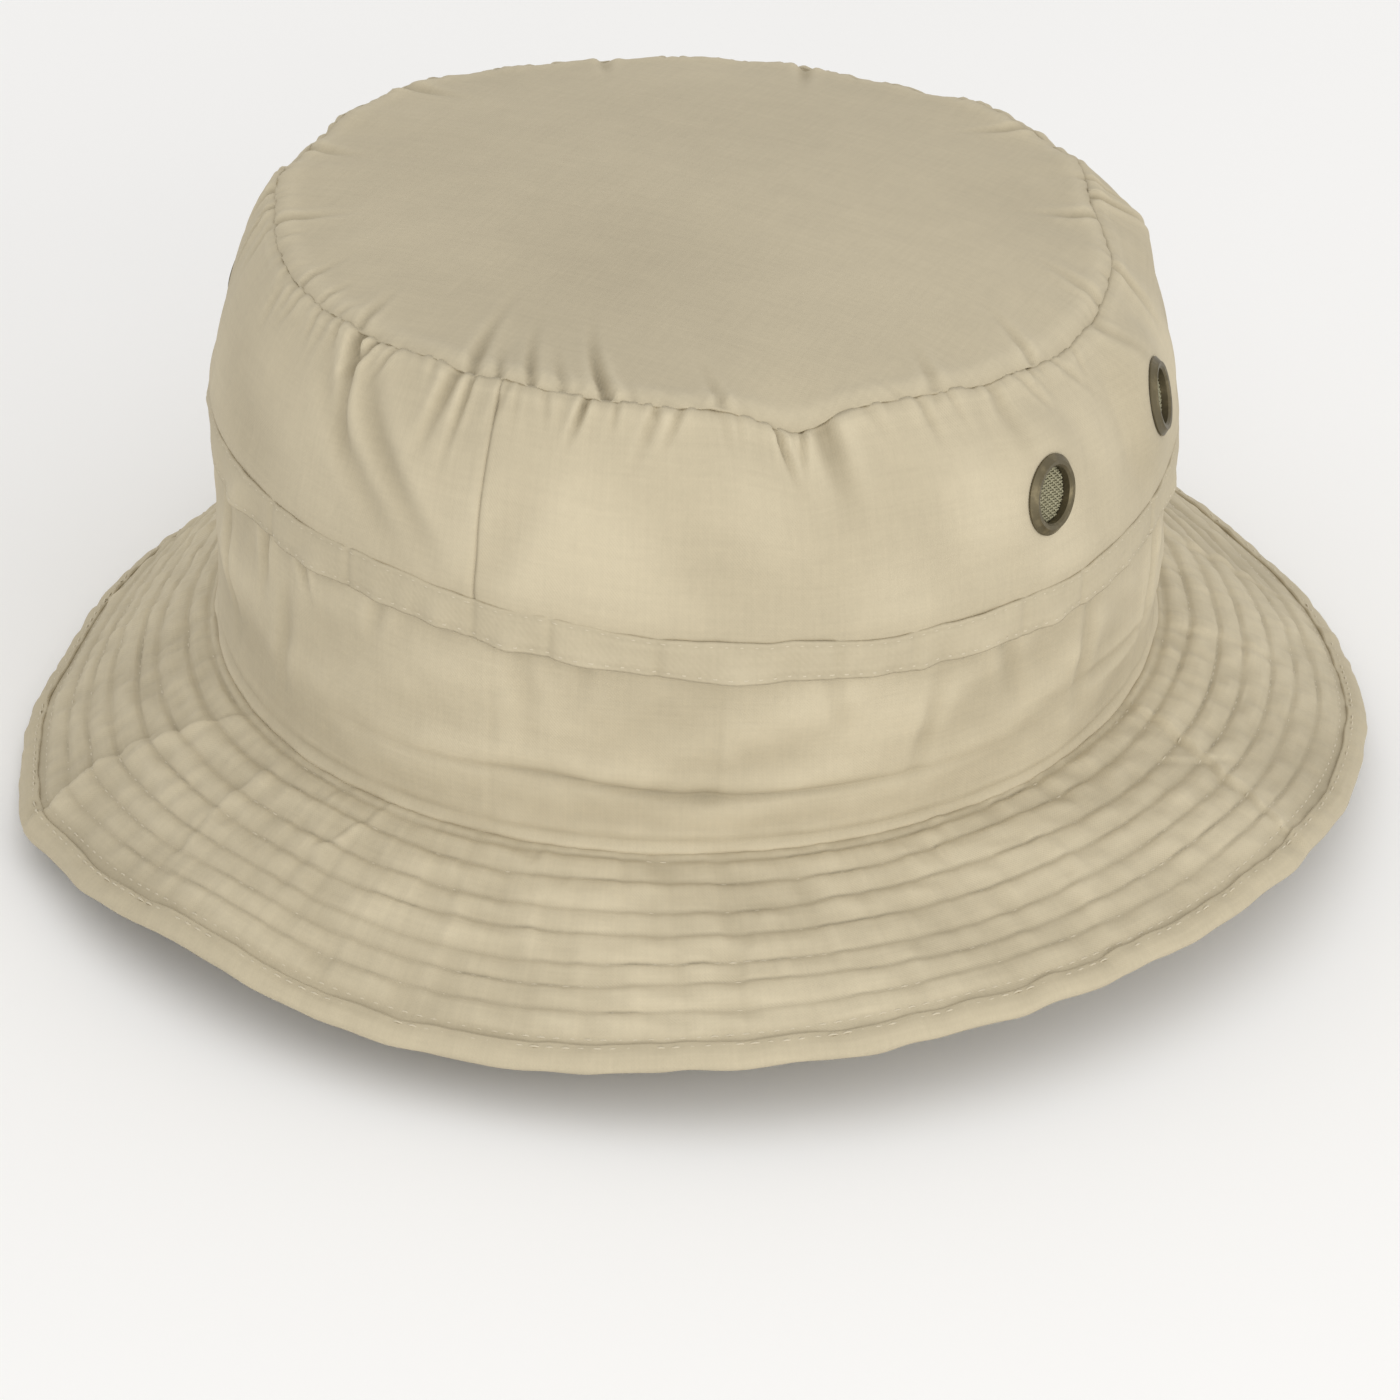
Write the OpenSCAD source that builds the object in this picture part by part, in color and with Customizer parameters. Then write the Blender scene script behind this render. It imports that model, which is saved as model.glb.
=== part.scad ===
// Boonie hat: a soft cotton sun hat with a flat oval top, a gathered side wall in two
// halves, a plain band, a narrow loop tape and a stitched brim of three plies.
// Millimetres.  +Z is up, the front faces -Y, the wearer's left is +X.
// The hat stands on the edge of its brim, so z = 0 is the table under it.
// Angles around the hat run from the front centre towards +X.

/* [Head size] */
// Half width of the oval where the brim is sewn on, outside
seam_half_x = 87; // [72:0.5:110]
// Half length of that oval, front to back
seam_half_y = 101.5; // [84:0.5:128]

/* [Brim] */
// Width of the brim from its seam to its edge, along the slope
brim_width = 46; // [36:0.5:80]
// Slope of the brim below the level
brim_slope = 33; // [12:0.5:40]
// Thickness of the upper ply of cloth
upper_ply = 0.8; // [0.4:0.1:1.6]
// Thickness of the stiff interlining
interlining = 0.8; // [0.4:0.1:1.6]
// Thickness of the lower ply of cloth
lower_ply = 0.8; // [0.4:0.1:1.6]
// Width of the folded strip that binds the edge, on each face
binding_width = 6; // [3:0.5:12]
// Thickness of the binding cloth
binding_wall = 0.7; // [0.4:0.1:1.5]
// Width of the flat underside of the edge, which rests on the table
edge_land = 1.2; // [0.6:0.1:2]

/* [Band and tape] */
// Height of the plain band, from the brim seam up to the crown joint
band_height = 43.5; // [28:0.5:60]
// Thickness of the plain band, two layers of cloth
band_wall = 1.2; // [0.6:0.1:2]
// How far the band draws in from the brim seam to the crown joint
band_taper = 1; // [0:0.1:6]
// How much higher the crown joint runs at the front and back than at the sides
band_saddle = 3; // [0:0.1:7]
// Width of the loop tape that covers the crown joint
tape_width = 8; // [6:0.5:20]
// Thickness of the loop tape
tape_wall = 0.9; // [0.4:0.1:2]

/* [Crown] */
// Half width of the oval top, at its seam
tip_half_x = 75; // [62:0.5:98]
// Half length of the oval top, at its seam
tip_half_y = 88.5; // [72:0.5:114]
// How far the top sits forward of the brim's centre
tip_forward = 1.5; // [-6:0.5:8]
// Height of the side wall, from the crown joint up to the top seam
side_height = 33; // [26:0.5:60]
// How much the top rises towards the front, per millimetre
tip_rise = 0.075; // [0:0.005:0.12]
// How far the loose side wall billows out
billow = 0.8; // [0:0.1:6]
// How far the top domes up above its seam
tip_dome = 3; // [0.5:0.5:10]
// Thickness of the crown cloth with its lining
crown_wall = 1; // [0.6:0.1:2]

/* [Sweatband] */
// Height of the sweatband
sweat_height = 32; // [20:0.5:38]
// Thickness of the sweatband
sweat_wall = 1; // [0.6:0.1:2]

/* [Vents] */
// Angle of the front vent around the hat
vent_front_angle = 68.5; // [50:0.5:74]
// Angle of the rear vent around the hat
vent_rear_angle = 94.5; // [84:0.5:110]
// How much further back the two vents on the wearer's right sit, in degrees
vent_right_back = 9; // [0:0.5:14]
// How far a vent turns back from the wall's own direction, in degrees
vent_turn = 6; // [0:0.5:8]
// Gap between the top of the loop tape and the cloth disc that the eyelet clamps
vent_gap = 4.5; // [1:0.5:6]
// Outside diameter of the eyelet flange
vent_flange_d = 14.6; // [12:0.1:20]
// Clear diameter through the eyelet
vent_bore_d = 10.2; // [6:0.1:12]
// Thickness of the eyelet metal
vent_metal = 0.6; // [0.4:0.1:1]
// How far the rounded flange stands up from the cloth
vent_crown = 1.3; // [0.8:0.1:2]
// How far the eyelet's curled end reaches out over the washer
vent_curl = 1; // [0.6:0.1:1.6]
// Thickness of the cloth disc that the eyelet clamps
seat_wall = 2.8; // [2:0.1:3.6]
// How far that disc reaches past the flange all round
seat_margin = 0.2; // [0.1:0.1:0.6]
// How far the disc's outer face stands off the wall
seat_proud = 0.8; // [0.2:0.1:1.4]
// Thickness of the washer inside the hat
washer_wall = 0.6; // [0.4:0.1:1.2]
// How far the flange reaches past the washer all round
washer_margin = 0.3; // [0.1:0.1:1]
// Thickness of the wire screen
screen_wall = 0.4; // [0.2:0.1:0.8]
// Depth of the screen's outer face below the cloth disc's outer face
screen_seat = 0.5; // [0.2:0.1:1]

/* [Fits] */
// Gap between two pieces of cloth that are sewn together
sewn_gap = 0.1; // [0.05:0.05:0.4]
// Gap between the eyelet barrel and the hole it passes through
barrel_gap = 0.15; // [0.05:0.05:0.4]
// Gap around the wire screen in the eyelet
screen_gap = 0.05; // [0.02:0.01:0.2]
// Gap between the band and the loose upper part of the sweatband
sweat_gap = 0.4; // [0.1:0.1:1]

/* [Hidden] */
$fn = 48;

// Steps around the whole oval.
around = 72;

// The brim, in its own slope frame: u runs down the slope, w stands square to it.
brim_thickness = upper_ply + interlining + lower_ply + 2 * sewn_gap;
binding_under = sewn_gap + binding_wall;
seam_z = (brim_width - edge_land) * sin(brim_slope) + binding_under * cos(brim_slope);
brim_edge_u = brim_width - binding_under;

// Heights of the crown joint and the top seam, before saddle and tilt.
joint_z = seam_z + band_height;
tip_z = joint_z + side_height;
joint_gap = sewn_gap / 2;

// The brim plies start just outside the band, clear of its lower edge.
ply_inner_u = sewn_gap / cos(brim_slope);

// How far the tape stands off the joint, and how far its upper edge follows the billow.
tape_lift = band_taper * tape_width / 2 / band_height + sewn_gap;
tape_lean = billow * sin(180 * tape_width / 2 / side_height);

// The clamped cloth disc, the washer behind it and the barrel through both.
seat_d = vent_flange_d + 2 * seat_margin;
washer_d = vent_flange_d - 2 * washer_margin;
barrel_d = vent_bore_d + 2 * vent_metal;
vent_z = joint_z + tape_width / 2 + vent_gap + seat_d / 2;

// Angle of a vent on one side of the hat: side is 1 for the wearer's left, -1 for the right.
function vent_angle(t, side) = t + (side < 0 ? vent_right_back : 0);

// Depth of cloth cleared behind the clamped disc, where the washer presses it flat.
flatten_depth = 3;

// How far a cutting cylinder runs past the faces that it cuts.
overcut = 1;

// The eyelet flange's rounded top: shares of its height at the bore, the inner shoulder,
// the outer shoulder and the rim, and the widths of the two shoulders.
bore_share = 0.6;
inner_share = 0.92;
outer_share = 0.72;
rim_share = 0.2;
inner_shoulder = 0.4;
outer_shoulder = 0.8;

// Colours of the cloth and the metal.
khaki = [0.80, 0.74, 0.62];
khaki_shade = [0.74, 0.68, 0.56];
lining = [0.70, 0.66, 0.56];
antique = [0.42, 0.36, 0.26];
mesh_green = [0.46, 0.44, 0.34];

// A level ring around the hat: the seam oval moved out by "out", at height z.
function ring(out, z) = [for (i = [0:around - 1])
    let (t = 360 * i / around)
    [(seam_half_x + out) * sin(t), -(seam_half_y + out) * cos(t), z]];

// A ring that rises at the front and back by the saddle, scaled by "share".
function saddle_ring(out, z, share) = [for (i = [0:around - 1])
    let (t = 360 * i / around)
    let (rise = share * band_saddle * cos(2 * t))
    [(seam_half_x + out) * sin(t), -(seam_half_y + out) * cos(t), z + rise]];

// A ring on the brim at slope position u and height w above its lower face.
function brim_ring(u, w) =
    ring(u * cos(brim_slope) + w * sin(brim_slope), seam_z - u * sin(brim_slope) + w * cos(brim_slope));

// Height of the top seam plane at depth y.
function tip_plane(y) = tip_z - tip_rise * y;

// Height of the crown joint at angle t.
function joint_height(t) = joint_z + band_saddle * cos(2 * t);

// A point of the side wall at angle t; v runs from the crown joint to the top seam
// and "inset" moves the point inwards.  The wall billows out and then draws in.
function wall_point(t, v, inset) =
    let (draw_in = pow(v, 3))
    let (swell = billow * sin(180 * v) - band_taper * (1 - draw_in) - inset)
    let (half_x = seam_half_x + (tip_half_x - seam_half_x) * draw_in + swell)
    let (half_y = seam_half_y + (tip_half_y - seam_half_y) * draw_in + swell)
    let (y = -half_y * cos(t) - tip_forward * draw_in)
    let (low = joint_height(t) + joint_gap)
    [half_x * sin(t), y, low + (tip_plane(y) - joint_gap - low) * v];

// The wall's share v at a given height, and its outward normal there.
function wall_share(t, z) = (z - joint_height(t)) / (tip_plane(-seam_half_y * cos(t)) - joint_height(t));
function unit(a) = a / norm(a);
function wall_normal(t, v) =
    let (along = wall_point(t + 0.5, v, 0) - wall_point(t - 0.5, v, 0))
    let (up = wall_point(t, v + 0.01, 0) - wall_point(t, v - 0.01, 0))
    unit(cross(along, up));

// Two triangles for the four corners of a patch.
function patch(a, b, c, d) = [[a, b, c], [a, c, d]];

// Skin over rings that close on themselves both ways, like a loop of moulding.
module closed_loop(rings) {
    n = len(rings);
    m = len(rings[0]);
    faces = [for (i = [0:n - 1], j = [0:m - 1])
        let (k = (i + 1) % n, l = (j + 1) % m)
        each patch(i * m + j, k * m + j, k * m + l, i * m + l)];
    polyhedron(points = [for (r = rings) each r], faces = faces);
}

// Skin over open arcs that close on themselves the short way, with a cap at each end.
module open_loop(arcs) {
    n = len(arcs);
    m = len(arcs[0]);
    half = floor(n / 2);
    sides = [for (i = [0:n - 1], j = [0:m - 2])
        each patch(i * m + j, ((i + 1) % n) * m + j, ((i + 1) % n) * m + j + 1, i * m + j + 1)];
    first = [for (i = [0:half - 2]) each patch(i * m, (n - 1 - i) * m, (n - 2 - i) * m, (i + 1) * m)];
    last = [for (i = [0:half - 2])
        each patch((i + 1) * m + m - 1, (n - 2 - i) * m + m - 1, (n - 1 - i) * m + m - 1, i * m + m - 1)];
    polyhedron(points = [for (r = arcs) each r], faces = concat(sides, first, last));
}

// The flat oval top: a shallow dome, cut from one piece of cloth.
module crown_tip() {
    steps = [0.3, 0.55, 0.75, 0.9, 1];
    m = around;
    function dome_point(t, s, drop) =
        let (y = -tip_half_y * s * cos(t) - tip_forward)
        [tip_half_x * s * sin(t), y, tip_plane(y) + tip_dome * (1 - s * s) + drop];
    function dome_ring(s, drop) = [for (i = [0:m - 1]) dome_point(360 * i / m, s, drop)];
    n = len(steps);
    upper = [for (s = steps) dome_ring(s, joint_gap + crown_wall)];
    lower = [for (i = [n - 1:-1:0]) dome_ring(steps[i], joint_gap)];
    rings = concat(upper, lower);
    top = 2 * n * m;
    bottom = top + 1;
    skin = [for (i = [0:2 * n - 2], j = [0:m - 1])
        each patch(i * m + j, i * m + (j + 1) % m, (i + 1) * m + (j + 1) % m, (i + 1) * m + j)];
    top_fan = [for (j = [0:m - 1]) [top, (j + 1) % m, j]];
    bottom_fan = [for (j = [0:m - 1]) [bottom, (2 * n - 1) * m + j, (2 * n - 1) * m + (j + 1) % m]];
    points = concat([for (r = rings) each r],
                    [dome_point(0, 0, joint_gap + crown_wall), dome_point(0, 0, joint_gap)]);
    color(khaki)
        polyhedron(points = points,
                   faces = [for (f = concat(skin, top_fan, bottom_fan)) [f[2], f[1], f[0]]]);
}

// Places children on the side wall at angle t, with +Z along the outward normal and
// z = 0 on the outer face of the cloth disc that the eyelet clamps.
module at_vent(t) {
    v = wall_share(t, vent_z);
    n = wall_normal(t, v);
    translate(wall_point(t, v, 0) + seat_proud * n)
        rotate([0, acos(n[2]), atan2(n[1], n[0]) + vent_turn])
        children();
}

// One half of the side wall, from the front centre seam to the back centre seam.
// side is 1 for the wearer's left and -1 for the right.
module crown_side(side) {
    levels = 9;
    split = 0.5 * sewn_gap / seam_half_x * 180 / PI;
    count = around / 2;
    function arc(v, inset) = [for (i = [0:count])
        let (t = split + (180 - 2 * split) * i / count)
        wall_point(t, v, inset)];
    outer = [for (k = [0:levels]) arc(k / levels, 0)];
    inner = [for (k = [levels:-1:0]) arc(k / levels, crown_wall)];
    color(khaki)
        mirror([side < 0 ? 1 : 0, 0, 0])
        difference() {
            union() {
                open_loop(concat(outer, inner));
                for (t = [vent_front_angle, vent_rear_angle])
                    at_vent(vent_angle(t, side))
                        translate([0, 0, -seat_wall]) cylinder(d = seat_d, h = seat_wall);
            }
            for (t = [vent_front_angle, vent_rear_angle])
                at_vent(vent_angle(t, side)) {
                    translate([0, 0, -seat_wall - overcut])
                        cylinder(d = barrel_d + 2 * barrel_gap, h = seat_wall + 2 * overcut);
                    translate([0, 0, -seat_wall - flatten_depth])
                        cylinder(d = washer_d + 2 * sewn_gap, h = flatten_depth);
                }
        }
}
module crown_side_left() { crown_side(1); }
module crown_side_right() { crown_side(-1); }

// The plain band between the brim seam and the crown joint.
module hatband() {
    levels = 4;
    low = seam_z + sewn_gap;
    rise = band_height - sewn_gap - joint_gap;
    function band_ring(s, inset) = saddle_ring(-band_taper * s - inset, low + rise * s, s);
    outer = [for (k = [0:levels]) band_ring(k / levels, 0)];
    inner = [for (k = [levels:-1:0]) band_ring(k / levels, band_wall)];
    color(khaki) closed_loop(concat(outer, inner));
}

// The narrow tape over the crown joint, tacked down at intervals to leave loops.
module loop_tape() {
    out = -band_taper + tape_lift;
    low = joint_z - tape_width / 2;
    high = joint_z + tape_width / 2;
    color(khaki_shade)
        closed_loop([saddle_ring(out, low, 1), saddle_ring(out + tape_wall, low, 1),
                     saddle_ring(out + tape_wall + tape_lean, high, 1),
                     saddle_ring(out + tape_lean, high, 1)]);
}

// One ply of the brim between two heights above its lower face.
module brim_ply(low, high, inner_u) {
    levels = 4;
    function at(k, w) = brim_ring(inner_u + (brim_edge_u - inner_u) * k / levels, w);
    closed_loop(concat([for (k = [0:levels]) at(k, high)], [for (k = [levels:-1:0]) at(k, low)]));
}
module brim_lower_ply() {
    color(khaki_shade) brim_ply(0, lower_ply, ply_inner_u);
}
module brim_interlining() {
    low = lower_ply + sewn_gap;
    color(lining) brim_ply(low, low + interlining, ply_inner_u);
}
module brim_upper_ply() {
    low = lower_ply + interlining + 2 * sewn_gap;
    color(khaki) brim_ply(low, low + upper_ply, ply_inner_u);
}

// The folded strip around the brim's edge; its underside is flat for resting on a table.
module brim_binding() {
    top = brim_thickness + sewn_gap;
    inner_u = brim_width - binding_width;
    land_u = brim_width - edge_land;
    land_out = brim_width * cos(brim_slope);
    color(khaki)
        closed_loop([brim_ring(inner_u, top), brim_ring(inner_u, top + binding_wall),
                     brim_ring(brim_width - binding_wall, top + binding_wall), brim_ring(brim_width, top),
                     ring(land_out, 0), brim_ring(land_u, -binding_under),
                     brim_ring(inner_u, -binding_under), brim_ring(inner_u, -sewn_gap),
                     brim_ring(brim_width - binding_wall, -sewn_gap),
                     brim_ring(brim_width - binding_wall, top)]);
}

// The sweatband inside the hat, sewn in at the brim seam.
module sweatband() {
    out = -band_wall - sweat_gap;
    lean = band_taper * sweat_height / band_height;
    high = seam_z + sweat_height;
    color(lining)
        closed_loop([ring(out - sweat_wall, seam_z), ring(out, seam_z),
                     ring(out - lean, high), ring(out - lean - sweat_wall, high)]);
}

// A metal eyelet: rounded flange outside, barrel through the cloth, curled end inside.
module eyelet() {
    bore_r = vent_bore_d / 2;
    barrel_r = barrel_d / 2;
    flange_r = vent_flange_d / 2;
    foot = -seat_wall - washer_wall;
    lip_r = bore_r - vent_metal;
    curl_r = barrel_r + vent_curl;
    ledge = -screen_seat - screen_wall;
    color(antique)
        rotate_extrude()
        polygon([[lip_r, ledge - vent_metal], [lip_r, ledge], [bore_r, ledge],
                 [bore_r, vent_crown * bore_share], [bore_r + inner_shoulder, vent_crown * inner_share],
                 [(bore_r + flange_r) / 2, vent_crown],
                 [flange_r - outer_shoulder, vent_crown * outer_share],
                 [flange_r, vent_crown * rim_share], [flange_r, 0],
                 [barrel_r, 0], [barrel_r, foot], [curl_r, foot], [curl_r, foot - vent_metal],
                 [bore_r, foot - vent_metal], [bore_r, ledge - vent_metal]]);
}

// The washer that backs the eyelet inside the hat.
module washer() {
    color(antique)
        translate([0, 0, -seat_wall - washer_wall])
        difference() {
            cylinder(d = washer_d, h = washer_wall);
            translate([0, 0, -overcut])
                cylinder(d = barrel_d + 2 * barrel_gap, h = washer_wall + 2 * overcut);
        }
}

// The wire screen, a thin disc held against the lip inside the barrel.
module screen() {
    color(mesh_green)
        translate([0, 0, -screen_seat - screen_wall])
        cylinder(d = vent_bore_d - 2 * screen_gap, h = screen_wall);
}

// Puts children at a vent on the left (side 1) or mirrored to the right (side -1).
module on_side(side, t) {
    mirror([side < 0 ? 1 : 0, 0, 0]) at_vent(vent_angle(t, side)) children();
}
module vent_eyelet_left_front() { on_side(1, vent_front_angle) eyelet(); }
module vent_washer_left_front() { on_side(1, vent_front_angle) washer(); }
module vent_screen_left_front() { on_side(1, vent_front_angle) screen(); }
module vent_eyelet_left_rear() { on_side(1, vent_rear_angle) eyelet(); }
module vent_washer_left_rear() { on_side(1, vent_rear_angle) washer(); }
module vent_screen_left_rear() { on_side(1, vent_rear_angle) screen(); }
module vent_eyelet_right_front() { on_side(-1, vent_front_angle) eyelet(); }
module vent_washer_right_front() { on_side(-1, vent_front_angle) washer(); }
module vent_screen_right_front() { on_side(-1, vent_front_angle) screen(); }
module vent_eyelet_right_rear() { on_side(-1, vent_rear_angle) eyelet(); }
module vent_washer_right_rear() { on_side(-1, vent_rear_angle) washer(); }
module vent_screen_right_rear() { on_side(-1, vent_rear_angle) screen(); }

crown_tip();
crown_side_left();
crown_side_right();
loop_tape();
hatband();
brim_upper_ply();
brim_interlining();
brim_lower_ply();
brim_binding();
sweatband();
vent_eyelet_left_front();
vent_washer_left_front();
vent_screen_left_front();
vent_eyelet_left_rear();
vent_washer_left_rear();
vent_screen_left_rear();
vent_eyelet_right_front();
vent_washer_right_front();
vent_screen_right_front();
vent_eyelet_right_rear();
vent_washer_right_rear();
vent_screen_right_rear();
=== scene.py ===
# %% [markdown]
# # A boonie hat, sewn from plain cotton cloth
#
# The hat is seven kinds of cut cloth sewn together: an oval top, a side wall in two halves, a
# plain band, a narrow loop tape, a stitched brim of three plies, a strip round the brim's edge
# and a sweatband.  Four screened metal vents are clamped through the side wall.  The packed
# model already fixes where each piece is, so this script only gives the cloth its folds, its
# stitches and its finish.

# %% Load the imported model
import math

import bmesh
import bpy
import numpy as np
from mathutils import Matrix, Vector


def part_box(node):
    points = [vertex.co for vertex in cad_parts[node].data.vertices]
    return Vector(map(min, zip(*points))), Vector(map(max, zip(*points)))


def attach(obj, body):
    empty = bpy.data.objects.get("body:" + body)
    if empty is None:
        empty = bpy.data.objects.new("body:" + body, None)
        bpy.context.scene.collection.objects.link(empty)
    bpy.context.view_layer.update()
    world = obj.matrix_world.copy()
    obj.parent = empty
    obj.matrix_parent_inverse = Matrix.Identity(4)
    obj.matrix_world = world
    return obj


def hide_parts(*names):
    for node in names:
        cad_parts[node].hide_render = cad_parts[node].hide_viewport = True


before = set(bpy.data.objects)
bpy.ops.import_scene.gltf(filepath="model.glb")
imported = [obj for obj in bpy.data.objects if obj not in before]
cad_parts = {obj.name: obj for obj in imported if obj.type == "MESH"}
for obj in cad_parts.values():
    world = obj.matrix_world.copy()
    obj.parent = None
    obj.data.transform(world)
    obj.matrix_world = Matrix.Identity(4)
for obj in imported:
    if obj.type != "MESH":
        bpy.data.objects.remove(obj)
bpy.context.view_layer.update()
MM = 0.001

# %% [markdown]
# ## The camera
#
# A hat on a table is usually looked at from a little above and a little to one side.  The view
# here is 21 degrees round towards the wearer's left and nearly 28 degrees up, from about a
# metre away, with a long lens so that the far side of the brim isn't shrunk too much.

# %% Camera
VIEW_TURN = math.radians(21.0)
VIEW_RISE = math.radians(27.7)
VIEW_ROLL = math.radians(3.1)
VIEW_DISTANCE = 0.960
LENS_TO_SENSOR = 3.635
AIM = Vector((0.0, 0.0, 0.060))
AIM_RIGHT = -0.0026
AIM_UP = 0.0526

toward_camera = Vector((math.sin(VIEW_TURN) * math.cos(VIEW_RISE),
                        -math.cos(VIEW_TURN) * math.cos(VIEW_RISE), math.sin(VIEW_RISE)))
camera_right = Vector((math.cos(VIEW_TURN), math.sin(VIEW_TURN), 0.0))
camera_up = toward_camera.cross(camera_right)
pan = Matrix.Rotation(math.atan(AIM_RIGHT), 3, camera_up)
tilt = Matrix.Rotation(math.atan(-AIM_UP), 3, pan @ camera_right)
turned = Matrix((tilt @ pan @ camera_right, tilt @ pan @ camera_up, tilt @ pan @ toward_camera)).transposed()
roll = Matrix.Rotation(VIEW_ROLL, 3, "Z")

camera_data = bpy.data.cameras.new("hat_camera")
camera_data.sensor_width = 36.0
camera_data.lens = 36.0 * LENS_TO_SENSOR
camera_data.clip_start = 0.05
camera = bpy.data.objects.new("hat_camera", camera_data)
facing = (turned @ roll).to_quaternion()
camera.matrix_world = Matrix.LocRotScale(AIM + toward_camera * VIEW_DISTANCE, facing, None)
bpy.context.scene.collection.objects.link(camera)
bpy.context.scene.camera = camera
print("camera at", [round(v, 3) for v in camera.location])

# %% [markdown]
# ## The lines that the hat is sewn on
#
# A pattern cutter thinks of a hat as a few closed lines at different heights, with cloth
# stretched between them.  Each line is an oval given by one angle `t`, which runs from the
# front centre (t = 0) round towards the wearer's left.  Soft cloth never stands quite level,
# so each oval also rises and falls a few millimetres with `t`.

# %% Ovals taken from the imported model
def middle(node):
    """Centre of a node's box, in metres."""
    low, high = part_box(node)
    return (np.array(low) + np.array(high)) / 2


def half_size(node):
    """Half the width, length and height of a node's box."""
    low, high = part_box(node)
    return (np.array(high) - np.array(low)) / 2


HEAD_X, HEAD_Y = half_size("hatband")[:2]
SEAM_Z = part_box("hatband")[0][2]
JOINT_Z = middle("loop_tape")[2]
TIP_X, TIP_Y = half_size("crown_tip")[:2]
SIDE_HEIGHT = 33.0 * MM
TIP_Z = JOINT_Z + SIDE_HEIGHT
TAPE_HALF = 3.85 * MM
TAPE_DROP = 1.0
LIFT = 1.6 * MM
print("head oval half axes (mm):", round(HEAD_X / MM, 1), round(HEAD_Y / MM, 1))


def outward(t):
    """Level unit normal of the head oval: (b sin t, -a cos t) turned into a direction."""
    n = np.stack([HEAD_Y * np.sin(t), -HEAD_X * np.cos(t), 0 * t], axis=-1)
    return n / np.linalg.norm(n, axis=-1, keepdims=True)


def bump(x, centre, width):
    """A smooth hill of height 1: exp of minus the squared distance over the width."""
    return np.exp(-(((x - centre) / width) ** 2))


def turn_gap(t, degrees):
    """Angle from t to a place on the hat, in degrees, taken the short way round."""
    return (np.degrees(t) - degrees + 180.0) % 360.0 - 180.0


def seam_line(t):
    """Brim seam: the head oval, higher at the front right and back left by a few mm."""
    z = SEAM_Z + LIFT + (1.3 * np.cos(2 * t) + 1.5 * np.sin(2 * t) - 1.5 * np.sin(t)) * MM
    return np.stack([HEAD_X * np.sin(t), -HEAD_Y * np.cos(t), z], axis=-1)


def joint_line(t):
    """Crown joint under the tape: the head oval at band height, saddle shaped and leaning."""
    z = JOINT_Z + LIFT + (2.8 * np.cos(2 * t) - 0.9 * np.sin(2 * t) - 3.3 * np.sin(t) + 0.7 * np.cos(t)) * MM
    return np.stack([HEAD_X * np.sin(t), -1.5 * MM - HEAD_Y * np.cos(t), z], axis=-1)


# %% The top seam, which the gathers pull about
rng = np.random.default_rng(11)
SEAM_WANDER = [(rng.integers(5, 40), rng.uniform(0, 2 * math.pi), rng.uniform(0.03, 0.12)) for _ in range(26)]


def seam_wander(t):
    """Small up and down of the top seam in mm: a sum of sines of whole turns."""
    return sum(a * np.sin(k * t + p) for k, p, a in SEAM_WANDER)


def tip_plane(x, y):
    """Height of the top at x, y: a plane that rises towards the front and the right."""
    return TIP_Z + 1.3 * MM - 0.012 * x - 0.079 * y


SEAM_LIFTS = [(4, 36, 1.8), (86, 20, -3.2), (132, 13, 3.2), (157, 13, 3.2), (-165, 36, 2.2),
              (-108, 22, 2.4), (-74, 9, 1.2)]
SEAM_PUSHES = [(124, 9, -2.2), (140, 9, 1.6), (-74, 7, 1.6), (-104, 18, 3.0)]


def tip_line(t):
    """Top seam: a smaller oval in the tilted plane, with one deep dip right of the front and
    two corners at the back where the cloth is gathered into an ear.  Each lift and push is
    (degrees, width, mm)."""
    x = -2.0 * MM + TIP_X * np.sin(t)
    y = -1.5 * MM - (TIP_Y - 0.1 * MM) * np.cos(t)
    dip = 4.6 * bump(turn_gap(t, 38.3), 0, 4.6)
    ears = sum(size * bump(turn_gap(t, degrees), 0, width) for degrees, width, size in SEAM_LIFTS)
    push = sum(size * bump(turn_gap(t, degrees), 0, width) for degrees, width, size in SEAM_PUSHES)
    z = tip_plane(x, y) + (seam_wander(t) - dip + ears) * MM
    return np.stack([x, y, z], axis=-1) + outward(t) * (push + 0.12 * dip)[..., None] * MM
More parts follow.
